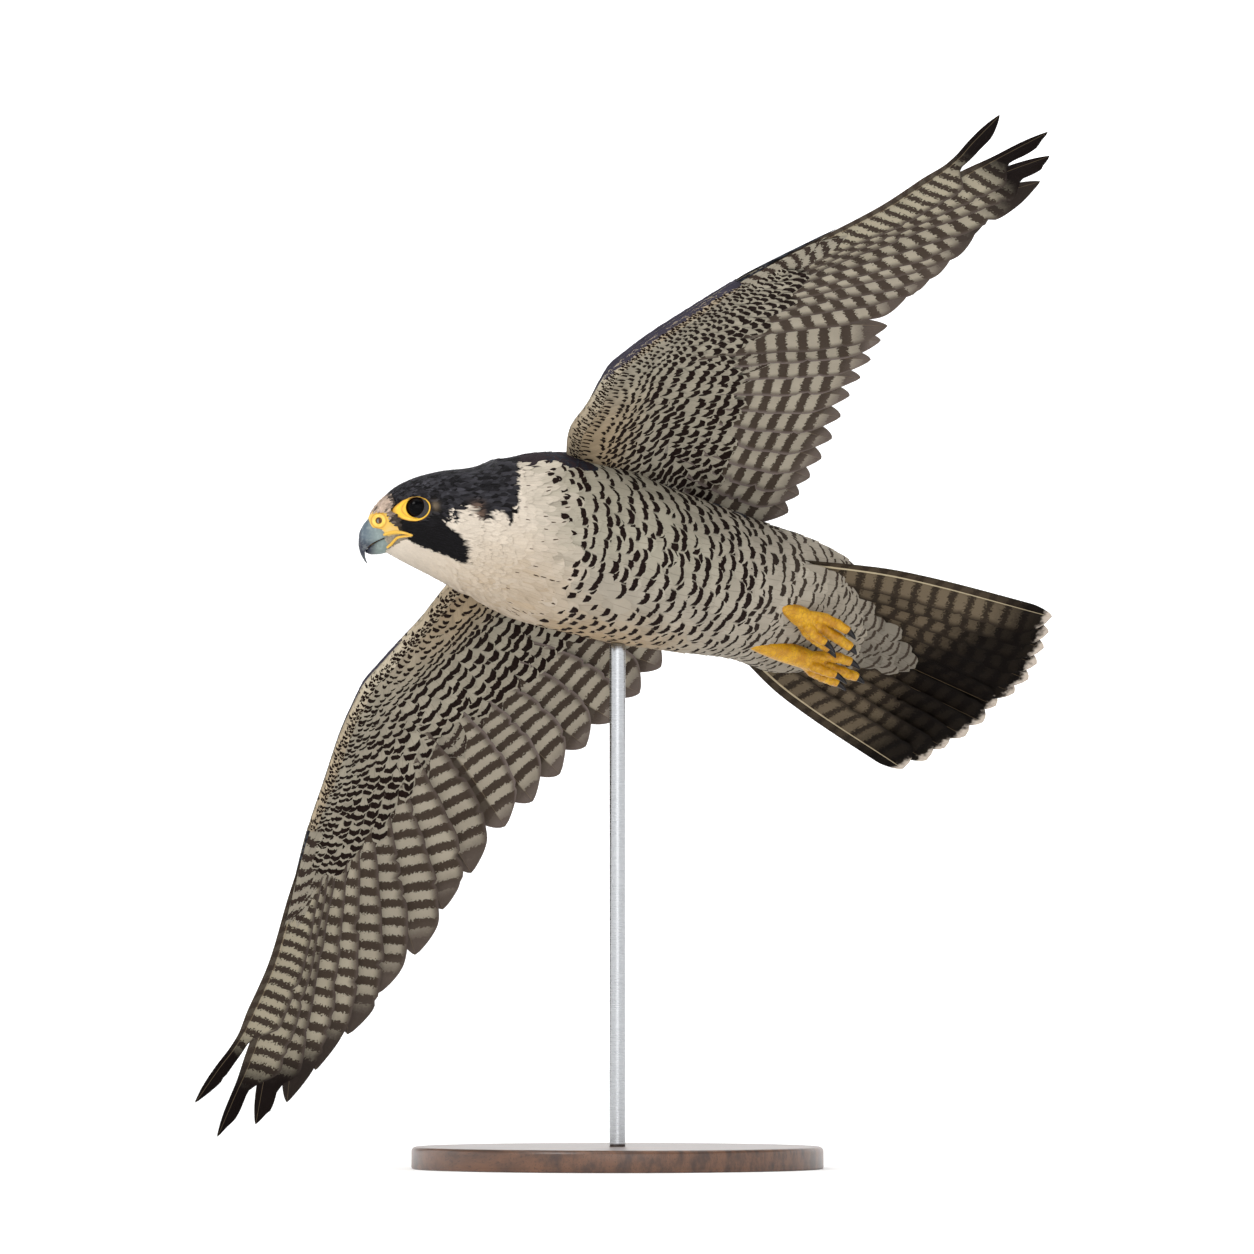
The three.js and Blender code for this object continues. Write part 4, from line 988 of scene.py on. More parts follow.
def edgeCoverts(side):
    # small feathers that lie outwards along the leading edge and round its nose
    rows = []
    for i, (face, aft) in enumerate([(-1, 3.4), (-1, 1.6), (-1, 0.3), (1, 0.9), (1, 2.3), (1, 3.8)]):
        x = np.arange(34 + 0.9 * i, 252, 2.5)
        rows.append(columns(len(x), x + dice.normal(0, 0.3, len(x)), aft, face))
    x, aft, face = np.concatenate(rows).T
    count = len(x)
    aft = aft * (smooth(250, 200, x) * 0.4 + 0.6)

    def place(a, b, lift):
        px = x[:, None] + a * 0.97
        away = np.maximum(aft[:, None] + 0.12 * a + b * face[:, None], -0.1)
        swell = np.maximum(fleshHalf(px, away), 0.02) + lift + 0.25
        return wingPoint(side, px, leadingEdge(px) + away, face[:, None] * swell) + np.array([0, -0.3, 0])

    size = {"length": 8.5 * (1 + 0.1 * bell(count)), "width": 3.6, "turn": 0.05 * bell(count), "rootLift": -0.5,
            "tipLift": 0.1 * bell(count), "cup": 0.2, "thick": 0.2}
    look = blank(count, wingTones["edgePale"], wingTones["underBar"], run=(5.0, 0.0, 0.02))
    look["marks"] = columns(count, 0.80 + 0.04 * bell(count), 0.13, np.where(dice.random(count) < 0.9, 0.95, -1))
    dark = (face > 0) & (aft > np.where(x < 85, 3.0, np.where(x < 110, 1.6, 0.5)))
    if side == "left":  # the hand turns its slate upper edge to the front
        dark |= (face < 0) & (aft < 1.1 * smooth(118, 152, x))
    brown = 0.65 * (1 - np.exp(-((x - 128) / 34) ** 2))
    look["ground"] = mix(look["ground"], srgb(*wingTones["lesser"])[None], brown[:, None])
    look["ground"][dark] = srgb(*wingTones["edge"])
    look["marks"][dark, 1] = -0.05
    shadeVanes(look, 0.07)
    bakeAt = columns(count, 0.02 + 0.9 * x / 260, 0.3 + 0.05 * face * aft)
    return layVanes(f"edgeCoverts_{side}", place, size, look, coatMaterial, bakeAt)


def greaterCoverts(side, face):
    # two coverts to each flight feather, longest over its own shaft
    feathers, rows = wingFeathers(side), []
    for f, after in zip(feathers, feathers[1:] + [{"kind": None}]):
        for half in (0.0, 0.5):
            r, t = f["root"], f["tip"]
            if half:
                if after["kind"] != f["kind"]:
                    continue
                r, t = mix(r, after["root"], half), mix(t, after["tip"], half)
            w = unit(t - r)
            reach = np.linalg.norm(t - r) * f["cover"] * (1.04 if not half else 0.98)
            rows.append([*(r + w * 4), *w, reach, (f["front"] + f["rear"]) * 0.62, f["tilt"]])
    x, y, wayX, wayY, reach, width, tilts = np.array(rows).T
    way, count = np.stack([wayX, wayY], -1), len(x)

    def place(a, b, lift):
        px, py = onPlan(x, y, way, a, b - 0.2 * width[:, None], 0.8)
        rise = wingCoat["greaterLift"] * (1 - 0.45 * np.clip(a / reach[:, None], 0, 1))
        return wingPoint(side, px, py, face * (rise + lift) + tilts[:, None] * b)

    size = {"length": reach * (1 + 0.03 * bell(count)), "width": width, "turn": 0.02 * bell(count), "rootLift": 0.0,
            "tipLift": 0.0, "cup": 0.02 * width, "thick": 0.25}
    if face < 0:
        look = blank(count, wingTones["greater"], wingTones["greaterBar"])
        marks, run = (6.5, 2.5), (11.0, 1.6, 0.4)
    else:
        look = blank(count, wingTones["upper"], wingTones["upperBar"], wingTones["upperRim"], trim=upperTrim)
        marks, run = (8, 3.0), (13.0, 2.0, 1.0)
    look["marks"] = columns(count, 1 - marks[0] / reach, marks[1] / reach, 1.3)
    look["run"] = columns(count, *[v / reach for v in run])
    bakeAt = columns(count, 0.02 + 0.94 * x / 300, 0.02 + 0.9 * y / 200)
    return layVanes(f"{faceNames[face]}Greater_{side}", place, size, look, coatMaterial, bakeAt, 14, wideVane,
                    wingCoat["greaterOutline"])


for side in sides:
    for face in faceNames:
        for coverts in (smallCoverts, greaterCoverts):
            dress(coverts(side, face), "plumage" if face < 0 else "flight")
    dress(edgeCoverts(side), "plumage")


# Flight and tail feathers, each with its own shaft

quill = {"rows": 60, "columns": (-1, -0.8, -0.6, -0.4, -0.2, "a", 0, "b", 0.35, 0.7, 1), "stem": 1.5, "thick": 0.5}
plainWidths = {kind: (track(front), track(rear)) for kind, front, rear in (
    ("tail", [(0, 0.5), (0.4, 0.9), (0.9, 1), (1, 0.8)], [(0, 0.4), (0.4, 0.85), (0.9, 1), (1, 0.9)]),
    ("secondary", [(0, 0.5), (0.32, 0.9), (0.72, 1), (1, 0.9)],
     [(0, 0.3), (0.32, 0.8), (0.72, 1), (0.93, 0.82), (1, 0.66)]),
    ("inner", [(0, 0.5), (0.32, 0.9), (0.72, 1), (1, 0.85)],
     [(0, 0.3), (0.32, 0.8), (0.72, 1), (0.86, 0.82), (0.93, 0.64), (1, 0.42)]),
    ("middle", [(0, 0.5), (0.32, 0.9), (0.72, 1), (1, 0.85)],
     [(0, 0.3), (0.32, 0.8), (0.72, 1), (0.83, 0.86), (0.90, 0.60), (0.96, 0.40), (1, 0.26)]),
)}
notches = {8: (0.89, 0.42, 0.7), 9: (0.85, 0.33, 0.6), 10: (0.765, 0.30, 0.6)}  # place, width behind, ahead


def notchedWidths(n):
    place, narrow, lead = notches[n]
    front = track([(0, 0.5), (0.3, 0.9), (place - 0.10, 1), (place + 0.01, lead), (0.95, lead * 0.9),
                   (1, lead * 0.7)])
    rear = track([(0, 0.3), (0.3, 0.8), (place - 0.06, 1), (place + 0.015, narrow),
                  ((place + 1.05) / 2, narrow * 1.06), (0.96, narrow * 0.86), (1, narrow * 0.6)])
    return front, rear


def bigFeather(f, at, widths, tipAt, tipPower, tipBend, splits):
    # points of one feather: columns across, a raised shaft, rounded tip and a few splits
    names = quill["columns"]
    s, x, layer, faces = vaneGrid(quill["rows"], tuple(range(len(names))))
    s = 1 - (1 - s) ** 1.15
    run = f["tip"] - f["root"]
    length = np.linalg.norm(run)
    run = run / length
    ahead = np.array([run[1], -run[0]])
    q = np.clip((s - tipAt) / (1 - tipAt), 0, 1)
    cap = (1 - q ** tipBend) ** tipPower
    frontWidth = f["front"] * widths[0](s) * cap + 0.15
    rearWidth = f["rear"] * widths[1](s) * cap + 0.15
    for _ in range(splits):
        split, depth = dice.uniform(0.45, 0.93), dice.uniform(0.04, 0.13)
        rearWidth = rearWidth * (1 - depth * np.exp(-((s - split) / 0.008) ** 2))
    rearWidth = rearWidth * (1 + 0.012 * np.sin(s * 40 + dice.uniform(0, 6)))
    stem = np.maximum(quill["stem"] * (1 - 0.85 * s), 0.25) / 2
    offset, ridge, flatX = np.zeros((3, len(s)))
    for c, value in enumerate(names):
        here = x == c
        if value == "a":
            offset[here] = -np.minimum(stem, rearWidth * 0.9)[here] * 1.15
        elif value == "b":
            offset[here] = np.minimum(stem, frontWidth * 0.9)[here] * 1.15
        elif value == 0:
            ridge[here] = stem[here] * 1.1
        else:
            offset[here] = (value * (rearWidth if value < 0 else frontWidth))[here]
        flatX[here] = {"a": -0.06, "b": 0.06}.get(value, value)
    part = np.abs(flatX)
    sag = -0.05 * np.where(flatX < 0, rearWidth, frontWidth) * part ** 2
    ripple = 0.22 * np.sin(part * 9 + s * 30) * part * (flatX < 0)
    thick = quill["thick"] * (1 - 0.5 * part)
    rise = sag + ripple + np.where(layer > 0, -thick / 2 - ridge, thick / 2 + ridge * 0.6)
    rise = np.where(part >= 0.99, sag + ripple, rise)
    shift = offset + track(f["bend"])(s)
    ox, oy = [f["root"][i] + run[i] * length * s + ahead[i] * shift for i in (0, 1)]
    return (at(ox, oy, f["tilt"] * offset + rise), faces, s, flatX, layer), length


upperSide = {"ground": (50, 53, 61), "markTone": (82, 86, 94), "tipTone": (34, 35, 40)}  # slate seen from above


def joinFeathers(name, feathers, material):
    parts, uv, bake, looks = [], [], [], []
    for i, ((points, faces, s, x, layer), look) in enumerate(feathers):
        parts.append((points, faces))
        uv.append(np.stack([(x + 1) / 2, s], -1))
        across = (i + 0.06 + 0.88 * (x + 1) / 2) / len(feathers)
        corner = faces.ravel()
        under = np.repeat(np.arange(len(faces)) >= len(faces) // 2, 4)
        bake.append(np.stack([across[corner], np.where(under, 0.51, 0.01) + 0.48 * s[corner]], -1))
        each = {key: np.repeat(np.array(value, float)[None], len(points), 0) for key, value in look.items()}
        above = (layer == 0) & (np.abs(x) < 0.99) & (s > 0) & (s < 1)
        for key, value in upperSide.items():
            each[key][above] = srgb(*value)
        looks.append(each)
    colours, vectors = [{key: np.concatenate([look[key] for look in looks]) for key in keys}
                        for keys in (toneNames, markNames)]
    return addMesh(name, *joined(parts), np.concatenate(uv), np.concatenate(bake), colours, vectors, material)


flightTones = {"ground": (68, 58, 50), "pale": (162, 154, 138), "tip": (20, 14, 13), "soft": (112, 101, 94),
               "rim": (158, 144, 140), "outerPale": (160, 152, 132)}
flightPeriod = (9.4, 11.0, 12.0, 13.0, 12.3)  # the outer three primaries, the other primaries, secondaries
tipShape = {"notched": (0.90, 0.66, 1.9), "primary": (0.89, 0.70, 2.0), "secondary": (0.865, 0.68, 1.7),
            "tail": (0.90, 0.62, 2.0)}


def wingFlight(side):
    def at(x, y, lift):
        return wingPoint(side, x, y, lift)
    ground, pale, tip, soft, rim, outerPale = [srgb(*value) for value in flightTones.values()]
    made = []
    for f in wingFeathers(side):
        n, primary = f["n"], f["kind"] == "primary"
        if primary and n > 7:
            widths, shape = notchedWidths(n), tipShape["notched"]
        else:
            widths = plainWidths[("middle" if n > 5 else "inner") if primary else "secondary"]
            shape = tipShape[f["kind"]]
        ragged = side == "right" and primary and n == 7
        feather, length = bigFeather(f, at, widths, *shape, 7 if ragged else 3)
        shade = 1 + 0.05 * dice.normal()
        outer = max(0, n - 4) / 6 if primary else 0.0
        period = flightPeriod[min(10 - n, 3)] if primary else flightPeriod[4]
        made.append((feather, {
            "ground": mix(ground, tip, 0.2 * outer) * shade, "markTone": mix(pale, outerPale, outer) * shade,
            "rimTone": rim, "tipTone": mix(mix(ground, soft, 0.5 if primary else 0.8), tip,
                                           min(1.0, outer * 1.45) ** 0.7),
            "marks": (dice.uniform(0, 1) * period / length, 0.255 * period / length, 0.97),
            "run": (period / length, -3.0 / length, 0.5 / length),
            "trim": (mix(0.90, 0.78, outer) if primary else 0.94, 0.12 if primary else 0.4, 0.9),
        }))
    dress(joinFeathers(f"flightFeathers_{side}", made, flightMaterial), "flight", f"wing_{side}")
    print("flight feathers", side, len(made))


for side in sides:
    wingFlight(side)

tailTones = {"ground": (38, 31, 25), "outerGround": (50, 42, 34), "dull": (78, 67, 53), "pale": (104, 92, 75),
             "shaft": (186, 172, 142), "band": (9, 6, 5), "end": (190, 178, 165)}
tailPeriod = 12.5
tailMaterial = vaneMaterial("tailFeather", barbs=70.0, ragged=0.05, shaft=0.06, shaftTone=(120, 104, 80),
                            shaftMix=0.4, roughness=0.55, bandSoft=0.12, bandMix=0.93, end=tailTones["end"])


def tailFeathers():
    ground, outerGround, dull, pale, shaft, band = [srgb(*value) for value in list(tailTones.values())[:6]]
    made = []
    for side in (1, -1):
        for n in range(tail["pairs"], 0, -1):
            s = (n - 0.5) / tail["pairs"]
            turn = math.radians(tail["spread"] * s)
            reach = tail["length"] * (1 - tail["round"] * s * s) * (1 + 0.008 * dice.normal())

            def at(across, aft, lift, side=side, n=n):
                return inTail(side * across, aft, lift - tail["step"] * n)
            root = tail["rootHalf"] * s
            f = {"root": np.array([root, 0]), "front": mix(13, 5.5, s ** 2), "rear": mix(13, 21, s), "tilt": 0.0,
                 "tip": np.array([root + math.sin(turn) * reach, math.cos(turn) * reach]),
                 "bend": [(0, 0), (0.4, tail["bend"] * s), (1, 0)]}
            feather, length = bigFeather(f, at, plainWidths["tail"], *tipShape["tail"], 4)
            shade = 1 + 0.06 * dice.normal()
            made.append((feather, {
                "ground": mix(ground, outerGround, s) * shade, "markTone": mix(dull, pale, s) * shade,
                "rimTone": shaft, "tipTone": band,
                "marks": (dice.uniform(0, 1) * tailPeriod / length, mix(3.0, 3.9, s) / length, 0.97),
                "run": (tailPeriod / length, dice.normal() * 2.0 / length, 1.3 / length),
                "trim": (mix(0.58, 0.85, s ** 1.5) + 0.02 * dice.normal(), -0.9 if n == tail["pairs"] else 0.0,
                         mix(0.2, 0.9, s ** 3)),
            }))
    dress(joinFeathers("tailFeathers", made, tailMaterial), "flight", "tail")
    print("tail feathers", len(made))


tailFeathers()

tailCoat = {
    -1: {"half": [(10, 46), (30, 41), (50, 32), (70, 24), (90, 16), (110, 9), (122, 4)], "end": 116, "less": 0,
         "fall": 0.35, "dark": 0.56},
    1: {"half": [(10, 44), (35, 34), (55, 22), (72, 8)], "end": 70, "less": 7, "fall": 0.3, "dark": 0.72},
}


def tailCoverts(face):
    # long coverts that lie along the tail in a narrowing lobe
    own = tailCoat[face]
    halfAt = track(own["half"])
    spots = []
    for odd, aft in enumerate(np.cumsum([18.0] + 13 * [7.4])):
        if aft < own["end"]:
            half = float(halfAt(aft))
            across = np.arange(-half + 3.5 * (odd % 2), half + 0.1, 7.6)
            spots.append(columns(len(across), across, aft))
    a0, b0 = np.concatenate(spots).T
    count = len(a0)
    thick = track([(10, 17), (40, 12.5), (70, 10), (105, 8.2), (125, 7.4)])
    fan = np.radians(0.16 * a0)[:, None]

    def place(a, b, lift):
        px = a0[:, None] + np.sin(fan) * a + np.cos(fan) * b
        py = b0[:, None] - 16 + np.cos(fan) * a - np.sin(fan) * b
        edge = np.clip(np.abs(px) / (halfAt(np.clip(py, 10, 120)) + 6), 0, 1)
        swell = (thick(py) - own["less"]) * (1 - own["fall"] * edge ** 2)
        return inTail(px, py, face * (np.maximum(swell, 1.6) + lift))

    size = {"length": 24 * (1 + 0.08 * bell(count)), "width": 15.0, "turn": 0.07 * bell(count), "rootLift": -2.4,
            "tipLift": 0.25 * bell(count), "cup": 0.9, "thick": 0.35}
    if face < 0:
        look = blank(count, tones["vent"], tones["greyBar"], None, (0.84, 0.040, 1.3), (5.0, 0.05, 0.012))
    else:
        look = blank(count, tones["back"], tones["backBar"], tones["rumpRim"], (0.6, 0.09, 1.3),
                     (0.33, 0.06, 0.05), upperTrim)
    darker = mix(0.93, own["dark"], smooth(15, 100, b0))[:, None]
    look["ground"] = np.clip(look["ground"] * (darker + 0.05 * dice.normal(0, 1, (count, 1))), 0, 1)
    bakeAt = columns(count, 0.5 + a0 / 120, 0.05 + b0 / 130)
    dress(layVanes(f"{faceNames[face]}Tail", place, size, look, coatMaterial, bakeAt, 6, wideVane), "plumage")


for face in faceNames:
    tailCoverts(face)


# Feet and claws

footPlan = {
    "left": {"heel": (20, 217, -43), "end": (16, 270, -62), "ahead": 10,
             "palm": [(-6, 0, 0), (2, 0, -1), (10, 0, -1), (20, 0, 0)], "palmRadii": [2.8, 5.0, 6.6, 6.0]},
    "right": {"heel": (-13, 216, -44), "end": (-9, 290, -57), "ahead": 34,
              "palm": [(-8, 0, 0), (6, 0, -1), (24, 0, -2), (44, 0, 0)], "palmRadii": [2.8, 5.4, 7.0, 6.2]},
    "toes": {
        "inner": {"path": [(3, -3, 0), (13, -7.6, 0), (22, -9.0, 0), (29, -9.4, 1)], "radii": [4.4, 3.9, 3.6, 3.0],
                  "claw": 9},
        "middle": {"path": [(3, 0, 0), (16, 0.3, -0.5), (29, 0.3, 0.5), (39, 0, 2)], "radii": [4.6, 4.2, 3.9, 3.2],
                   "claw": 8},
        "outer": {"path": [(3, 3, 0), (13, 7.6, 0), (23, 9.0, 0.5), (30, 9.2, 1.5)], "radii": [4.4, 3.9, 3.5, 2.9],
                  "claw": 9},
        "hind": {"path": [(2, 0, 1), (8, -1, 6), (15, -2, 8.5), (20, -2, 9)], "radii": [4.0, 3.6, 3.2, 2.6],
                 "claw": 11},
    },
    "steps": 60, "pads": (0.28, 0.60, 0.88), "joints": (0.45, 0.75, 0.97),
}
roundEnd = ((0.95, 0.3), (0.7, 0.72), (0.35, 0.93))  # reach past the end and share of the radius


def inFoot(side):
    heel, end = [np.array(footPlan[side][key], float) for key in ("heel", "end")]
    ahead = unit(end - heel)
    across = np.array([sides[side], 0, 0.0])
    across = unit(across - ahead * (across @ ahead))
    down = np.cross(ahead, across) * sides[side]
    if down[2] > 0:
        down = -down

    def at(p):
        p = np.asarray(p, float)
        return heel + p[..., 0:1] * ahead + p[..., 1:2] * across + p[..., 2:3] * down
    return at, down


def smoothPath(points, radii, steps):
    points, radii = np.asarray(points, float), np.asarray(radii, float)
    lengths = np.concatenate([[0], np.cumsum(np.linalg.norm(np.diff(points, axis=0), axis=1))])
    q = np.linspace(0, lengths[-1], steps)
    path = np.stack([track(zip(lengths, axis))(q) for axis in points.T], -1)
    return path, track(zip(lengths, radii))(q), q / lengths[-1]


def tubeAlong(path, radii, count=18, reference=(1.0, 0, 0)):
    way = unit(np.gradient(path, axis=0))
    reference = np.asarray(reference, float)
    across = unit(reference - way * (way @ reference)[:, None])
    up = np.cross(way, across)
    turn = fullTurn(count)
    ring = np.cos(turn)[None, :, None] * across[:, None] + np.sin(turn)[None, :, None] * up[:, None]
    grid = path[:, None] + ring * radii[:, None, None]
    first = [path[0] - way[0] * radii[0] * c + (grid[0] - path[0]) * s for c, s in roundEnd]
    last = [path[-1] + way[-1] * radii[-1] * c + (grid[-1] - path[-1]) * s for c, s in roundEnd[::-1]]
    return np.concatenate([first, grid, last])


def scalyMaterial():
    g = Graph("scalyFoot")
    place = g.place()
    heel, end = [toWorld(np.array(footPlan["left"][p], float)) for p in ("heel", "end")]
    ahead = unit(end - heel)
    along = g.put("ShaderNodeVectorMath", operation="DOT_PRODUCT")
    g.feed(along.inputs[0], place)
    along.inputs[1].default_value = tuple(ahead)
    spread = g.put("ShaderNodeCombineXYZ")
    for socket in spread.inputs:
        g.feed(socket, along.outputs["Value"])
    squeeze = g.put("ShaderNodeVectorMath", operation="MULTIPLY_ADD")  # cells stretched across the toes
    for socket, value in zip(squeeze.inputs, (spread.outputs[0], tuple(1.6 * ahead), place)):
        g.feed(socket, value)
    cells = g.put("ShaderNodeTexVoronoi", feature="DISTANCE_TO_EDGE")
    g.feed(cells.inputs["Vector"], squeeze.outputs[0])
    cells.inputs["Scale"].default_value = 230.0
    edge = g.ramp(cells.outputs["Distance"], 0.0, 0.12)
    skin = g.blend(g.ramp(g.noise(140.0, 3.0), 0.35, 0.7), rgba(180, 124, 4), rgba(208, 158, 20))
    g.bump(edge, 0.5, 0.0006)
    return g.finish(g.blend(g.times(g.minus(1.0, edge), 0.45), skin, rgba(150, 98, 10)), Roughness=0.38,
                    Specular_IOR_Level=0.4)


def clawMaterial():
    g = Graph("clawHorn")
    streak = g.noise(420.0, 4.0)
    g.bump(streak, 0.25, 0.0003)
    return g.finish(g.blend(g.ramp(streak, 0.3, 0.7), rgba(8, 7, 9), rgba(26, 23, 26)), Roughness=0.3,
                    Specular_IOR_Level=0.3)


footSkin, clawHorn = scalyMaterial(), clawMaterial()


def toeParts(points, toe, down):  # the toe with its joints and scutes, and three pads under it
    last = footPlan["steps"] - 1
    path, radii, q = smoothPath(points, toe["radii"], last + 1)
    joints = sum(np.exp(-((q - c) / 0.06) ** 2) for c in footPlan["joints"])
    scutes = 0.035 * np.abs(np.sin(q * np.pi * 11))
    parts = [tubeAlong(path, radii * (0.90 + 0.12 * joints - scutes), 24)]
    for c in footPlan["pads"]:
        i = int(c * last)
        pad = path[i] + down * radii[i] * 0.35
        way = unit(path[min(i + 1, last)] - path[i - 1])
        span = np.linspace(-1, 1, 9)[:, None]
        swell = radii[i] * 0.85 * np.sqrt(1 - 0.8 * span[:, 0] ** 2)
        parts.append(tubeAlong(pad + way * span * radii[i] * 0.9, swell, 16))
    return parts


def clawGrid(points, toe, down):
    along, reach = unit(points[-1] - points[-2]), toe["claw"] + 1
    s = np.linspace(0, 1, 26)
    curve = (points[-1] - along * 1.0 + along * reach * (s * (1 - 0.25 * s))[:, None]
             + down * reach * 0.45 * (s ** 2)[:, None])
    return tubeAlong(curve, toe["radii"][-1] * 0.92 * np.clip(1 - s, 0, 1) ** 0.62 + 0.18)


def foot(side):
    plan = footPlan[side]
    at, down = inFoot(side)
    path, radii, _ = smoothPath(at(plan["palm"]), plan["palmRadii"], 24)
    parts = [tubeAlong(path, radii, 24)]
    for name, toe in footPlan["toes"].items():
        points = at(np.array(toe["path"]) + np.array([plan["ahead"], 0, 0]))
        parts += toeParts(points, toe, down)
        claw = addMesh(f"talon_{side}_{name}", *closedLoft(clawGrid(points, toe, down)), material=clawHorn)
        dress(claw, "claw", f"claw_{side}_{name}")
    piece = melt(f"footSkin_{side}", [closedLoft(grid) for grid in parts], 0.0005, 2)
    piece.data.materials.append(footSkin)
    dress(piece, "skin", f"foot_{side}")
    print("foot", side, len(piece.data.polygons), "faces")


for side in sides:
    foot(side)


# Head: eyes, bare skin, bill

eye = {"radius": 9.0, "depth": 11.6, "opening": (7.0, 6.5), "rows": 60, "columns": 64}
orbit = [(15.6, -2.6), (11.0, 3.0), (5.2, 5.9), (-0.9, 6.35), (-6.2, 4.7), (-8.5, 1.0), (-7.8, -3.2), (-4.6, -6.7),
         (1, -8.6), (6.6, -8.0), (11.6, -6.4), (14.9, -4.2)]
headTones = {
    "pupil": (4, 4, 5), "iris": (15, 8, 6), "white": (10, 7, 6), "yellow": (226, 184, 48), "deep": (184, 132, 24),
    "dark": (20, 14, 12), "creaseShade": (176, 112, 10), "lip": (206, 166, 62), "hornPale": (118, 132, 132),
    "horn": (76, 90, 102), "navy": (17, 17, 38), "lowerHorn": (112, 126, 122), "lowerTip": (20, 21, 42),
    "lowerRoot": (204, 166, 62), "cere": (206, 168, 66), "cereWarm": (200, 176, 118), "holeToneAndShade": (70, 24, 12),
    "cereRim": (226, 190, 84), "cereLine": (178, 120, 34), "pin": (140, 80, 56), "mouthShade": (22, 12, 12),
}


def headTone(name):
    return srgb(*headTones[name])


def eyeMaterial():
    g = Graph("falconEye")
    return g.finish(g.colour("ground"), Roughness=0.05, Specular_IOR_Level=0.05)


def bareSkinMaterial():
    g = Graph("bareSkin")
    fine, broad = g.noise(1500.0, 3.0), g.noise(260.0, 2.0)
    g.bump(g.plus(g.times(fine, 0.5), broad), 0.45, 0.0005)
    colour = g.blend(g.times(g.ramp(broad, 0.35, 0.7), 0.35), g.colour("ground"), rgba(206, 150, 40))
    return g.finish(colour, Subsurface_Weight=0.12, Subsurface_Radius=(0.003, 0.0012, 0.0004), Roughness=0.4,
                    Specular_IOR_Level=0.45)


def billMaterial():
    g = Graph("billHorn")
    grain, broad = g.noise(500.0, 4.0), g.noise(120.0, 2.0)
    colour = g.blend(g.times(g.ramp(broad, 0.35, 0.7), 0.25), g.colour("ground"), rgba(60, 74, 84))
    colour = g.blend(g.times(g.ramp(grain, 0.4, 0.75), 0.15), colour, rgba(190, 200, 196))
    g.bump(grain, 0.12, 0.0003)
    return g.finish(colour, Roughness=0.34, Specular_IOR_Level=0.35, Coat_Weight=0.08, Coat_Roughness=0.2)


eyeGloss, bareSkin, billHorn = eyeMaterial(), bareSkinMaterial(), billMaterial()


def eyeball(side):
    polar, turn = np.linspace(0.001, np.pi - 0.001, eye["rows"]), fullTurn(eye["columns"])
    f = np.sin(polar)[:, None] * np.cos(turn) * eye["radius"]
    u = np.sin(polar)[:, None] * np.sin(turn) * eye["radius"]
    l = np.cos(polar)[:, None] * eye["radius"] * np.ones(eye["columns"])
    dome = 0.5 * np.clip(1 - (polar / 0.72) ** 2, 0, 1)[:, None]
    points = inHead(f, sides[side] * (eye["depth"] + l + dome), u)
    r = np.hypot(f, u)
    ground = mix(headTone("pupil"), headTone("iris"), smooth(4.4, 5.0, r)[..., None])
    ground = mix(ground, headTone("white"), smooth(7.0, 7.4, r)[..., None])
    piece = addMesh(f"eyeball_{side}", points.reshape(-1, 3), gridFaces(eye["rows"], eye["columns"]),
                    colours={"ground": ground.reshape(-1, 3)}, material=eyeGloss)
    dress(piece, "eye", f"eye_{side}")


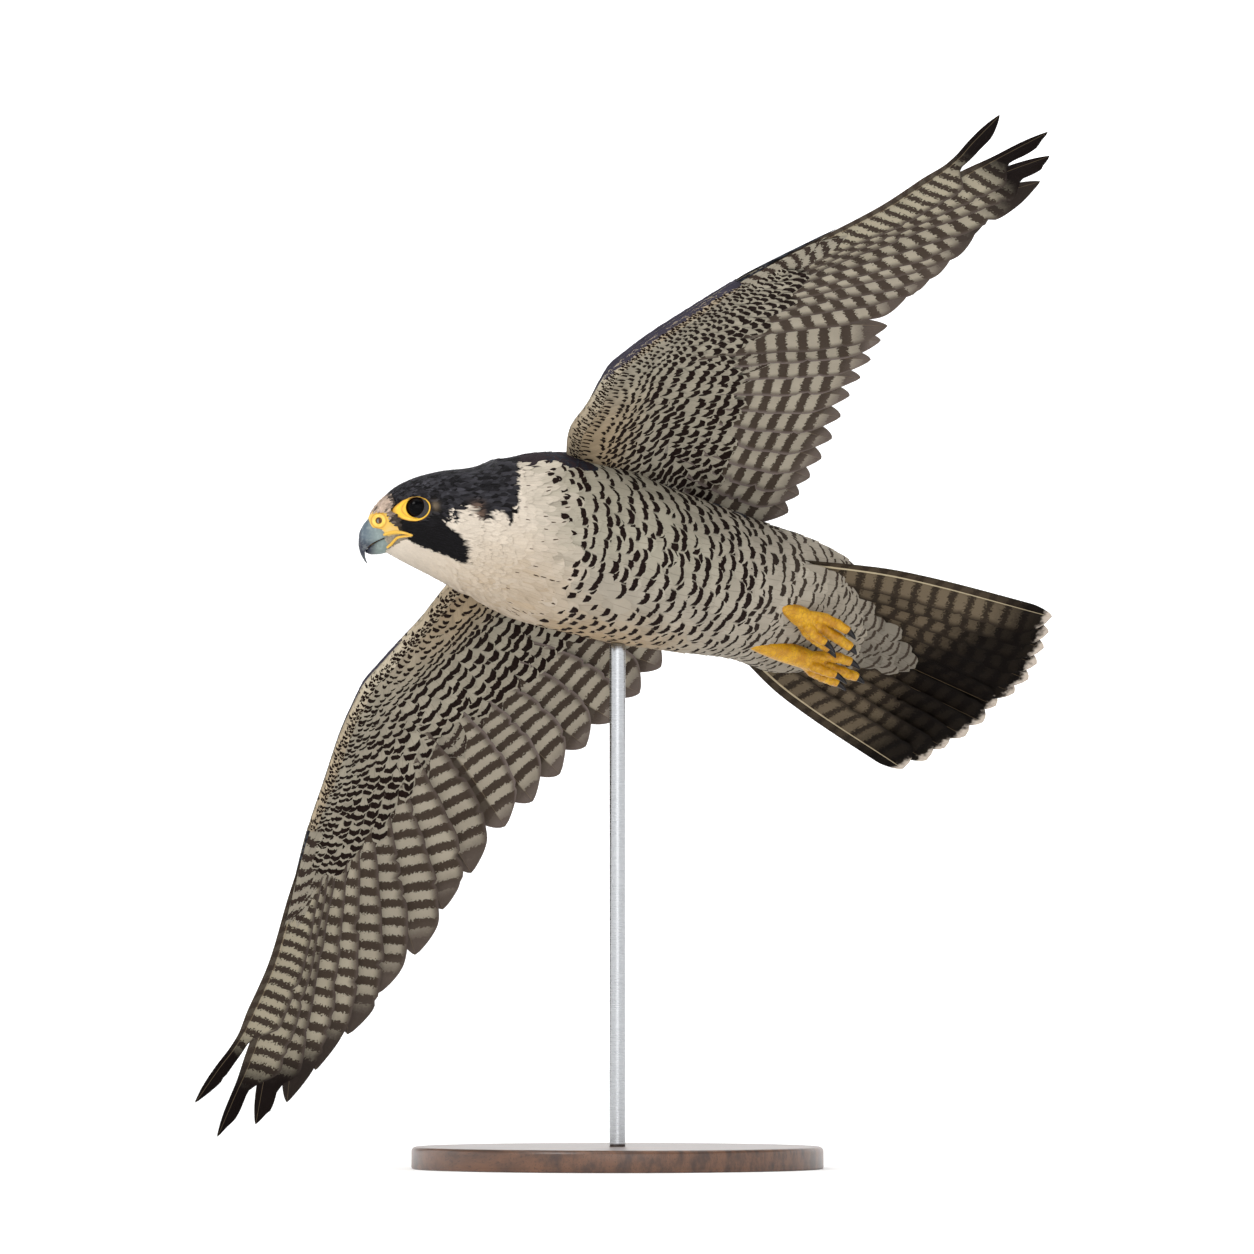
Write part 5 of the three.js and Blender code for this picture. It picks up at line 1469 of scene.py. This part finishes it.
def orbitalSkin(side):
    cols = 96
    turn = fullTurn(cols)
    bearing = np.array([[math.atan2(p[1], p[0]) % (2 * np.pi), math.hypot(*p)] for p in orbit])
    a, r = bearing[np.argsort(bearing[:, 0])].T
    outer = track(zip(np.concatenate([a - 2 * np.pi, a, a + 2 * np.pi]), np.tile(r, 3)))(turn)
    inner = 1 / np.sqrt((np.cos(turn) / eye["opening"][0]) ** 2 + (np.sin(turn) / eye["opening"][1]) ** 2)
    browShade = (0.97 * np.exp(-((turn - 1.2) / 0.5) ** 4))[:, None]  # the brow darkens the front of the upper rim
    yellow, deep, dark, creaseShade = [headTone(name) for name in ("yellow", "deep", "dark", "creaseShade")]
    outer = np.maximum(outer, inner + 0.35)
    span = np.maximum(outer - inner, 0.35)
    goal = eye["depth"] + math.sqrt(eye["radius"] ** 2 - 6.5 ** 2) + 1.2
    rings = []  # radius, lift and colour of each ring
    for q in np.linspace(-0.12, 1, 22):  # from under the feathers in to the rim
        radius = outer - span * q
        base = headSide(radius * np.cos(turn), radius * np.sin(turn))
        hollow = -0.5 * np.exp(-((q - 0.55) / 0.3) ** 2) * (span > 3)
        lift = mix(base + 0.05 + (0.35 if q > 0.02 else -0.5), goal, smooth(0.35, 0.92, q)) + hollow
        # a darker orange line along the groove of the ring: painted shade in the groove
        line = (np.exp(-((q - 0.70) / 0.07) ** 2) * (span > 2.5))[:, None]
        skinTone = mix(mix(deep, yellow, float(smooth(0.05, 0.35, q))), creaseShade, 0.7 * line)
        skinTone = mix(skinTone, dark, browShade * float(smooth(0.1, 0.5, q)))
        rings.append((radius, lift, skinTone if q > 0.0 else dark))
    for dr, dl, colour in ((0.25, 0.12, yellow), (0.5, 0.0, yellow), (0.72, -0.35, deep), (0.80, -0.8, dark),
                           (0.75, -1.3, dark), (0.2, -1.8, dark), (-1.0, -2.4, dark)):
        rings.append((inner - dr + 0.55, np.full(cols, goal + dl), mix(colour[None], dark[None], browShade)))
    # back of the ring, hidden in the head
    rings += [(inner + 1.5, np.full(cols, 15.0), dark), (outer + 0.6, rings[0][1] - 1.5, dark)]
    radius, lifts = [np.array([ring[i] for ring in rings]) for i in (0, 1)]
    points = inHead(radius * np.cos(turn), sides[side] * lifts, radius * np.sin(turn))
    c, last = np.arange(cols), (len(rings) - 1) * cols
    d = (c + 1) % cols
    faces = np.concatenate([gridFaces(len(rings), cols), np.stack([last + c, last + d, d, c], -1)])
    ground = np.array([np.broadcast_to(ring[2], (cols, 3)) for ring in rings]).reshape(-1, 3)
    piece = addMesh(f"eyelid_{side}", points.reshape(-1, 3), faces, colours={"ground": ground}, material=bareSkin)
    dress(piece, "skin")


for side in sides:
    eyeball(side)
    orbitalSkin(side)

upperBill = [  # top F, U, bottom F, U, half width
    (16, 9, 5, -17.0, 12.5), (21, 6, 12, -17.0, 10.2), (25, 2, 18, -18.0, 9.0), (28.2, -2.4, 22.5, -19.6, 8.0),
    (30.9, -6.6, 26.2, -21.2, 7.1), (34.4, -11.2, 29.6, -23.4, 5.9), (36.7, -16.8, 32.0, -26.2, 4.6),
    (37.0, -22.6, 32.9, -27.8, 3.3), (36.0, -27.8, 32.8, -30.0, 2.2), (34.3, -31.4, 32.2, -32.4, 1.3),
    (31.9, -34.9, 31.4, -34.6, 0.25),
]
lowerBill = [
    (6, -18.0, 8, -24.0, 11.0), (13, -18.0, 14.5, -26.3, 9.3), (19, -19.0, 19.5, -28.1, 7.7),
    (24, -20.8, 24.5, -29.2, 6.3), (28, -23.0, 28.6, -29.3, 4.7), (31, -25.4, 31.2, -28.6, 2.9),
    (32.6, -26.8, 32.6, -27.9, 0.8),
]


def billGrid(stations, count, cols, upper=True):
    # v runs from the cutting edge, 0, to the ridge of the bill, 1
    place = np.linspace(0, len(stations) - 1, count)
    tf, tu, bf, bu, wide = [track(enumerate(line))(place)[:, None] for line in zip(*stations)]
    over = np.sin(np.linspace(0, 1, cols) * np.pi / 2)
    v = np.concatenate([over, over[::-1][1:]])
    belly = (1 - v ** 2.3) ** 0.56 * (0.93 + 0.07 * np.sin(np.clip(v / 0.5, 0, 1) * np.pi / 2))
    inner = np.linspace(-1, 1, 9)[1:-1]
    l = np.concatenate([np.repeat([1.0, -1.0], [cols, cols - 1]) * belly, inner * 0.93])
    v = np.concatenate([v, 0.10 * (1 - inner ** 2)])
    if not upper:
        tf, tu, bf, bu = bf, bu, tf, tu
    f = bf + (tf - bf) * v[None]
    u = bu + (tu - bu) * v[None]
    return inHead(f, l[None] * wide, u), v, l, f, u


def upperMandible():
    points, v, _, f, u = billGrid(upperBill, 110, 40)
    mid, navy = headTone("horn"), headTone("navy")
    ground = mix(headTone("hornPale"), mid, smooth(24, 35, f)[..., None])
    ridge = smooth(0.75, 1.0, np.broadcast_to(v[None], f.shape)) * smooth(-7, -12, u)
    ground = mix(ground, mid * 0.8, ridge[..., None])
    ground = mix(ground, navy, smooth(-16.5, -25.5, u + 0.25 * (34 - f))[..., None])
    ground = mix(ground, navy, (0.85 * smooth(34.0, 37, f) * smooth(-8, -17, u))[..., None])
    dress(loftPiece("upperMandible", points, billHorn, ground), "bill", "bill_upper")


def lowerMandible():
    points, _, _, f, u = billGrid(lowerBill, 70, 30, upper=False)
    ground = mix(headTone("lowerHorn"), headTone("lowerTip"), smooth(24, 31, f + 0.25 * (u + 28))[..., None])
    root = smooth(1.2, -1.2, f - (16.6 + 0.35 * (-20 - u)))
    ground = mix(ground, headTone("lowerRoot"), root[..., None])
    dress(loftPiece("lowerMandible", points, billHorn, ground), "bill", "bill_lower")


# a near-black sheet in the gap between the mandibles: painted shade inside the mouth
def mouthShadeSheet():
    stations = [(tf, tu + 2.2, bf, bu + 2.0, wide * 0.84) for tf, tu, bf, bu, wide in lowerBill[:-1]]
    points = billGrid(stations, 40, 16, upper=False)[0]
    dress(loftPiece("mouthShadeSheet", points, bareSkin, headTone("mouthShade")), "skin")


nostril = {"place": (24.0, -8.1), "radius": 2.3, "depth": 1.6, "rim": 1.0, "pin": 7.1}
cere = {
    "rows": 160, "columns": 90, "back": 0.7, "swell": 0.65,
    "end": track([(0, 2.05), (0.1, 2.15), (0.21, 2.3), (0.3, 2.6), (0.45, 3.35), (0.55, 3.75), (0.8, 3.95),
                  (1, 4.0)]),
}


def cerePiece():
    points, v, l = billGrid(upperBill, cere["rows"], cere["columns"])[:3]
    endAt, sheet, spots = cere["end"](v), Sheet(points), np.arange(len(v))
    yellow, warm, rimTone, lineTone, holeToneAndShade = [headTone(name) for name in (
        "cere", "cereWarm", "cereRim", "cereLine", "holeToneAndShade")]
    rows, ground = [], []
    for s in np.concatenate([np.linspace(0, 0.9, 70), np.linspace(0.91, 1.0, 14)]):
        k = (cere["back"] + (endAt - cere["back"]) * s) / (len(upperBill) - 1) * (cere["rows"] - 1)
        swell = cere["swell"] * math.sqrt(max(0.0, 1 - max(0.0, (s - 0.86) / 0.14) ** 2)) - 0.12
        pf, pl, pu = profile(sheet.take(sheet.grid, k, spots) + sheet.take(sheet.normal, k, spots) * swell)
        overHead = (pf < 24) & (pu < 0) & (v > 0.02) & (v < 0.97)
        pl = np.sign(pl) * np.maximum(np.abs(pl), np.where(overHead, headSide(pf, pu) + 0.35, 0))
        away = np.hypot(pf - nostril["place"][0], pu - nostril["place"][1])
        dip = nostril["depth"] * (1 - smooth(nostril["radius"] * 0.62, nostril["radius"] * 1.02, away))
        rim = nostril["rim"] * smooth(4.9, 3.2, away)
        onSide = (np.abs(l) > 0.3) & (v < 0.95) & (spots < 2 * cere["columns"] - 1)
        rows.append(inHead(pf, pl + np.sign(pl) * (rim - dip) * onSide, pu))
        shade = mix(yellow, warm, (smooth(-8, -15, pu) * smooth(23, 16, pf))[:, None] * 0.8)
        shade = mix(shade, rimTone, (smooth(4.8, 3.9, away) * onSide)[:, None])
        shade = mix(shade, lineTone, (0.75 * np.exp(-((away - 4.7) / 0.4) ** 2) * onSide)[:, None])
        # the nostril opening: its reddish-brown lining, darkened by painted shade of the recess
        inHole = (1 - smooth(nostril["radius"] * 0.8, nostril["radius"] * 1.0, away)) * onSide
        ground.append(mix(shade, holeToneAndShade, inHole[:, None]))
    dress(loftPiece("cereSkin", np.array(rows), bareSkin, np.array(ground)), "skin", "cere")
    for side, sign in sides.items():
        reach = sign * np.linspace(nostril["pin"] - 2, nostril["pin"] + 0.35, 8)
        path = inHead(np.full(8, nostril["place"][0]), reach, np.full(8, nostril["place"][1]))
        pin = tubeAlong(path, np.linspace(0.55, 0.38, 8), 14, headF)
        dress(loftPiece(f"nostrilPin_{side}", pin, bareSkin, headTone("pin")), "skin")


cereBorder = track([(2, -16.5), (6.7, -15), (12.4, -12.4), (16.4, -10.4), (18.0, -7.4), (20, -4.9), (23, -3.4),
                    (26, -3.4), (30, -5.0)])
foreheadPlan = {"step": 1.15, "cross": 0.85, "length": 3.6, "width": 1.5, "rise": 1.0, "last": 119}


def lengthsAlong(line):
    return np.concatenate([[0], np.cumsum(np.linalg.norm(np.diff(line, axis=0), axis=1))])


def foreheadCoat():  # small feathers from the border of the cere back over the root of the bill
    points, plan = billGrid(upperBill, 160, 60)[0], foreheadPlan
    sheet, spots = Sheet(points), []
    ring, along = lengthsAlong(points[30, :plan["last"]]), lengthsAlong(points[:70, 45])
    for i, at in enumerate(np.arange(0, along[-1], plan["step"])):
        places = np.arange(0.4 * (i % 2), ring[-1], plan["cross"])
        spots.append(columns(len(places), np.interp(at, along, np.arange(70)),
                             np.interp(places, ring, np.arange(plan["last"]))))
    k, j = np.concatenate(spots).T
    k = np.clip(k + dice.normal(0, 0.6, len(k)), 0.5, 68)
    pf, _, pu = profile(sheet.at(k, j))
    keep = (pu > cereBorder(pf) + 0.35 * bell(len(k))) & (pf > 12) & (pf < 30.5)
    for back in (0.0, 1.6, 3.2):
        keep &= ~eyeArea(pf - back, pu, 0.2)
    k, j, pf, pu = k[keep], j[keep], pf[keep], pu[keep]
    count = len(k)
    size = {"length": plan["length"] * (1 + 0.15 * bell(count)), "width": plan["width"],
            "turn": math.pi + 0.16 * bell(count), "rootLift": 0.6,
            "tipLift": plan["rise"] * (1 + 0.2 * bell(count)), "cup": 0.1, "thick": 0.12}
    look = blank(count, tones["forehead"], tones["hood"])
    dark = smooth(20.5, 16, pf + 0.8 * bell(count)) + smooth(4.5, 8, pu + bell(count))
    fleck = dice.random(count) < 0.12
    look["ground"] = mix(look["ground"], tone("hood"), np.clip(dark + 0.7 * fleck, 0, 0.9)[:, None])
    shadeVanes(look, 0.14)
    flat = onSheet(sheet, k, j)

    def place(a, b, lift):  # over the cere, which rides on the side of the head
        pf, pl, pu = profile(flat(a, b, lift))
        out = np.where((pf < 24.5) & (np.abs(pl) > 3), headSide(pf, pu) + 0.45 + lift, 0)
        return inHead(pf, np.sign(pl) * np.maximum(np.abs(pl), out), pu)

    bakeAt = columns(count, 0.02 + 0.9 * j / 120, 0.02 + 0.9 * k / 70)
    dress(layVanes("foreheadCoat", place, size, look, hoodMaterial, bakeAt), "hood")
    print("forehead", count, "feathers")


for make in (upperMandible, lowerMandible, mouthShadeSheet, cerePiece, foreheadCoat):
    make()

lipLines = {
    "upper": ([(20.5, -16.9), (16, -15.6), (11, -15.5), (6.5, -16.3), (3.0, -17.3)], [0.9, 1.25, 1.1, 0.8, 0.5]),
    "lower": ([(18.6, -24.8), (15.8, -22.4), (13.0, -19.4), (9.5, -18.2), (6, -17.9), (3.0, -17.5)],
              [0.7, 0.9, 0.9, 0.75, 0.65, 0.5]),
}
lipWide = track([(0, 18), (5, 15.0), (12, 10.6), (18, 9.2), (22, 8.4)])


def lips(side):
    parts = []
    for path, radii in lipLines.values():
        f, u = np.array(path, float).T
        l = np.maximum(headSide(f, u), lipWide(f)) + 0.1
        curve, r, _ = smoothPath(inHead(f, sides[side] * l, u), radii, 40)
        parts.append(closedLoft(tubeAlong(curve, r, 16, headU)))
    points, faces = joined(parts)
    piece = addMesh(f"gape_{side}", points, faces, material=bareSkin,
                    colours={"ground": np.tile(headTone("lip"), (len(points), 1))})
    dress(piece, "skin")


for side in sides:
    lips(side)


# Stand

stand = {"radius": 130, "thick": 14, "round": 3.0, "rod": 5.0, "top": 331.6}


def woodMaterial():
    g = Graph("darkWood")
    place = g.place((1.0, 9.0, 4.0))  # grain runs along X
    grain, pores = g.noise(16.0, 6.0, place, 0.6), g.noise(220.0, 2.0, place)
    colour = g.blend(g.ramp(grain, 0.35, 0.65), rgba(58, 37, 26), rgba(98, 64, 42))
    colour = g.blend(g.times(g.ramp(pores, 0.55, 0.7), 0.5), colour, rgba(34, 22, 16))
    g.bump(g.plus(grain, pores), 0.08, 0.0005)
    return g.finish(colour, Roughness=0.38, Coat_Weight=0.3, Coat_Roughness=0.25)


def steelMaterial():
    g = Graph("brushedSteel")
    brush = g.noise(60.0, 4.0, g.place((1.0, 1.0, 30.0)))
    g.bump(brush, 0.1, 0.0002)
    return g.finish(g.blend(brush, rgba(150, 152, 156), rgba(190, 192, 194)), Metallic=1.0,
                    Roughness=g.ramp(brush, 0.2, 0.8, 0.22, 0.38))


def turnedGrid(line, count):  # rings round the upright axis from radius and height
    return np.array([[(r * math.cos(t), r * math.sin(t), z) for t in fullTurn(count)] for r, z in line])


def turnedPiece(name, line, material, count):
    return addMesh(name, *closedLoft(turnedGrid(line, count) / 1000), material=material, world=True)


def standPieces():
    r, t, b, q, top = [stand[key] for key in ("radius", "thick", "round", "rod", "top")]
    line = [(2, 0)] + [(x, 0) for x in np.linspace(10, r - 2.4, 16)] + [(r - 1.2, 0), (r - 0.3, 0.3), (r, 1.2)]
    line += [(r - b + b * math.cos(a), t - b + b * math.sin(a)) for a in np.linspace(0, math.pi / 2, 9)]
    line += [(x, t) for x in np.linspace(r - b - 1, 1, 30)]
    dress(turnedPiece("standBase", line, woodMaterial(), 160), "base", "stand_base")
    line = [(q * 0.4, t + 0.05), (q, t + 0.05)] + [(q, z) for z in np.linspace(t + 2, top - 1, 60)]
    line += [(q * 0.8, top), (q * 0.3, top + 0.2)]
    dress(turnedPiece("standRod", line, steelMaterial(), 48), "rod", "stand_rod")


standPieces()


# Floor, light and camera

lamps = {  # place, aim, size, power, colour
    "keySoft": ((0.2, -3.0, 2.8), (0, 0, 0.4), 1.4, 60, (1, 0.98, 0.95)),
    "fillLow": ((2.6, -2.6, 0.6), (0, 0, 0.4), 2.4, 20, (1, 1, 1)),
    "backTop": ((-1.6, 2.4, 3.2), (0, 0, 0.4), 2.0, 36, (1, 1, 1)),
    "roof": ((0, 0, 6.5), (0, 0, 0), 8.0, 240, (1, 1, 1)),
}
shot = {"turn": 44, "rise": -2, "away": 6.0, "right": 0.0904, "up": -0.0625, "focus": 9600, "frame": 1254}
ringSteps = 96


def floorMaterial():
    g = Graph("studioFloor")
    x, y = g.split(g.place())[:2]
    away = g.math("SQRT", g.plus(g.times(x, x), g.times(y, y)))
    material = g.finish((0.84, 0.84, 0.84, 1), Roughness=0.9, Emission_Color=(1, 1, 1, 1),
                        Emission_Strength=g.ramp(away, 1.5, 9.0, 0.16, 0.62))
    material.cycles.emission_sampling = "NONE"
    return material


def floor():  # flat disc that curves up far behind the model
    line = [(0.02, 0.0), (1.5, 0.0), (4, 0.0), (7, 0.0), (9, 0.0)]
    line += [(9 + 3.5 * math.sin(a), 3.5 * (1 - math.cos(a))) for a in np.linspace(0.1, math.pi / 2, 12)]
    line += [(12.5, 7.0)]
    points = np.concatenate([turnedGrid(line, ringSteps).reshape(-1, 3), [[0, 0, 0]]])
    c = np.arange(ringSteps)
    middle = np.stack([np.full(ringSteps, len(points) - 1), c, (c + 1) % ringSteps], -1)
    mesh = bpy.data.meshes.new("studioFloor")
    mesh.from_pydata(points.tolist(), [], gridFaces(len(line), ringSteps)[:, ::-1].tolist() + middle.tolist())
    mesh.polygons.foreach_set("use_smooth", np.ones(len(mesh.polygons), bool))
    mesh.materials.append(floorMaterial())
    inScene("studioFloor", mesh)


def lights():
    world = bpy.data.worlds.new("paleWorld")
    bpy.context.scene.world = world
    world.use_nodes = True
    background = world.node_tree.nodes["Background"]
    background.inputs[0].default_value, background.inputs[1].default_value = (1, 1, 1, 1), 0.38
    for name, (place, aim, size, power, colour) in lamps.items():
        data = bpy.data.lights.new(name, "AREA")
        data.shape = "DISK"
        data.size, data.energy, data.color = size, power, colour
        item = inScene(name, data)
        item.location = place
        item.rotation_mode = "QUATERNION"
        item.rotation_quaternion = (Vector(aim) - Vector(place)).to_track_quat("-Z", "Y")


def camera():
    a, e = math.radians(shot["turn"]), math.radians(shot["rise"])
    right = np.array([math.cos(a), math.sin(a), 0])
    back = np.array([math.sin(a) * math.cos(e), -math.cos(a) * math.cos(e), math.sin(e)])
    up = np.cross(back, right)
    data = bpy.data.cameras.new("photoView")
    data.lens, data.sensor_width = shot["focus"] * 36 / shot["frame"], 36
    data.dof.use_dof = False
    data.clip_start, data.clip_end = 0.05, 60
    item = inScene("photoView", data)
    centre = np.array(pose["place"]) / 1000 + shot["right"] * right + shot["up"] * up
    item.location = centre + back * shot["away"]
    item.rotation_mode = "QUATERNION"
    item.rotation_quaternion = Matrix([right, up, back]).transposed().to_quaternion()
    bpy.context.scene.camera = item


floor()
lights()
camera()
view = bpy.context.scene.view_settings
view.view_transform, view.look, view.exposure = "Standard", "None", 0.0

counted = {item.name: sum(len(p.vertices) - 2 for p in item.data.polygons)
           for item in bpy.context.scene.objects if item.type == "MESH"}
print("triangles", sum(counted.values()), sorted(counted.items(), key=lambda q: -q[1])[:12])
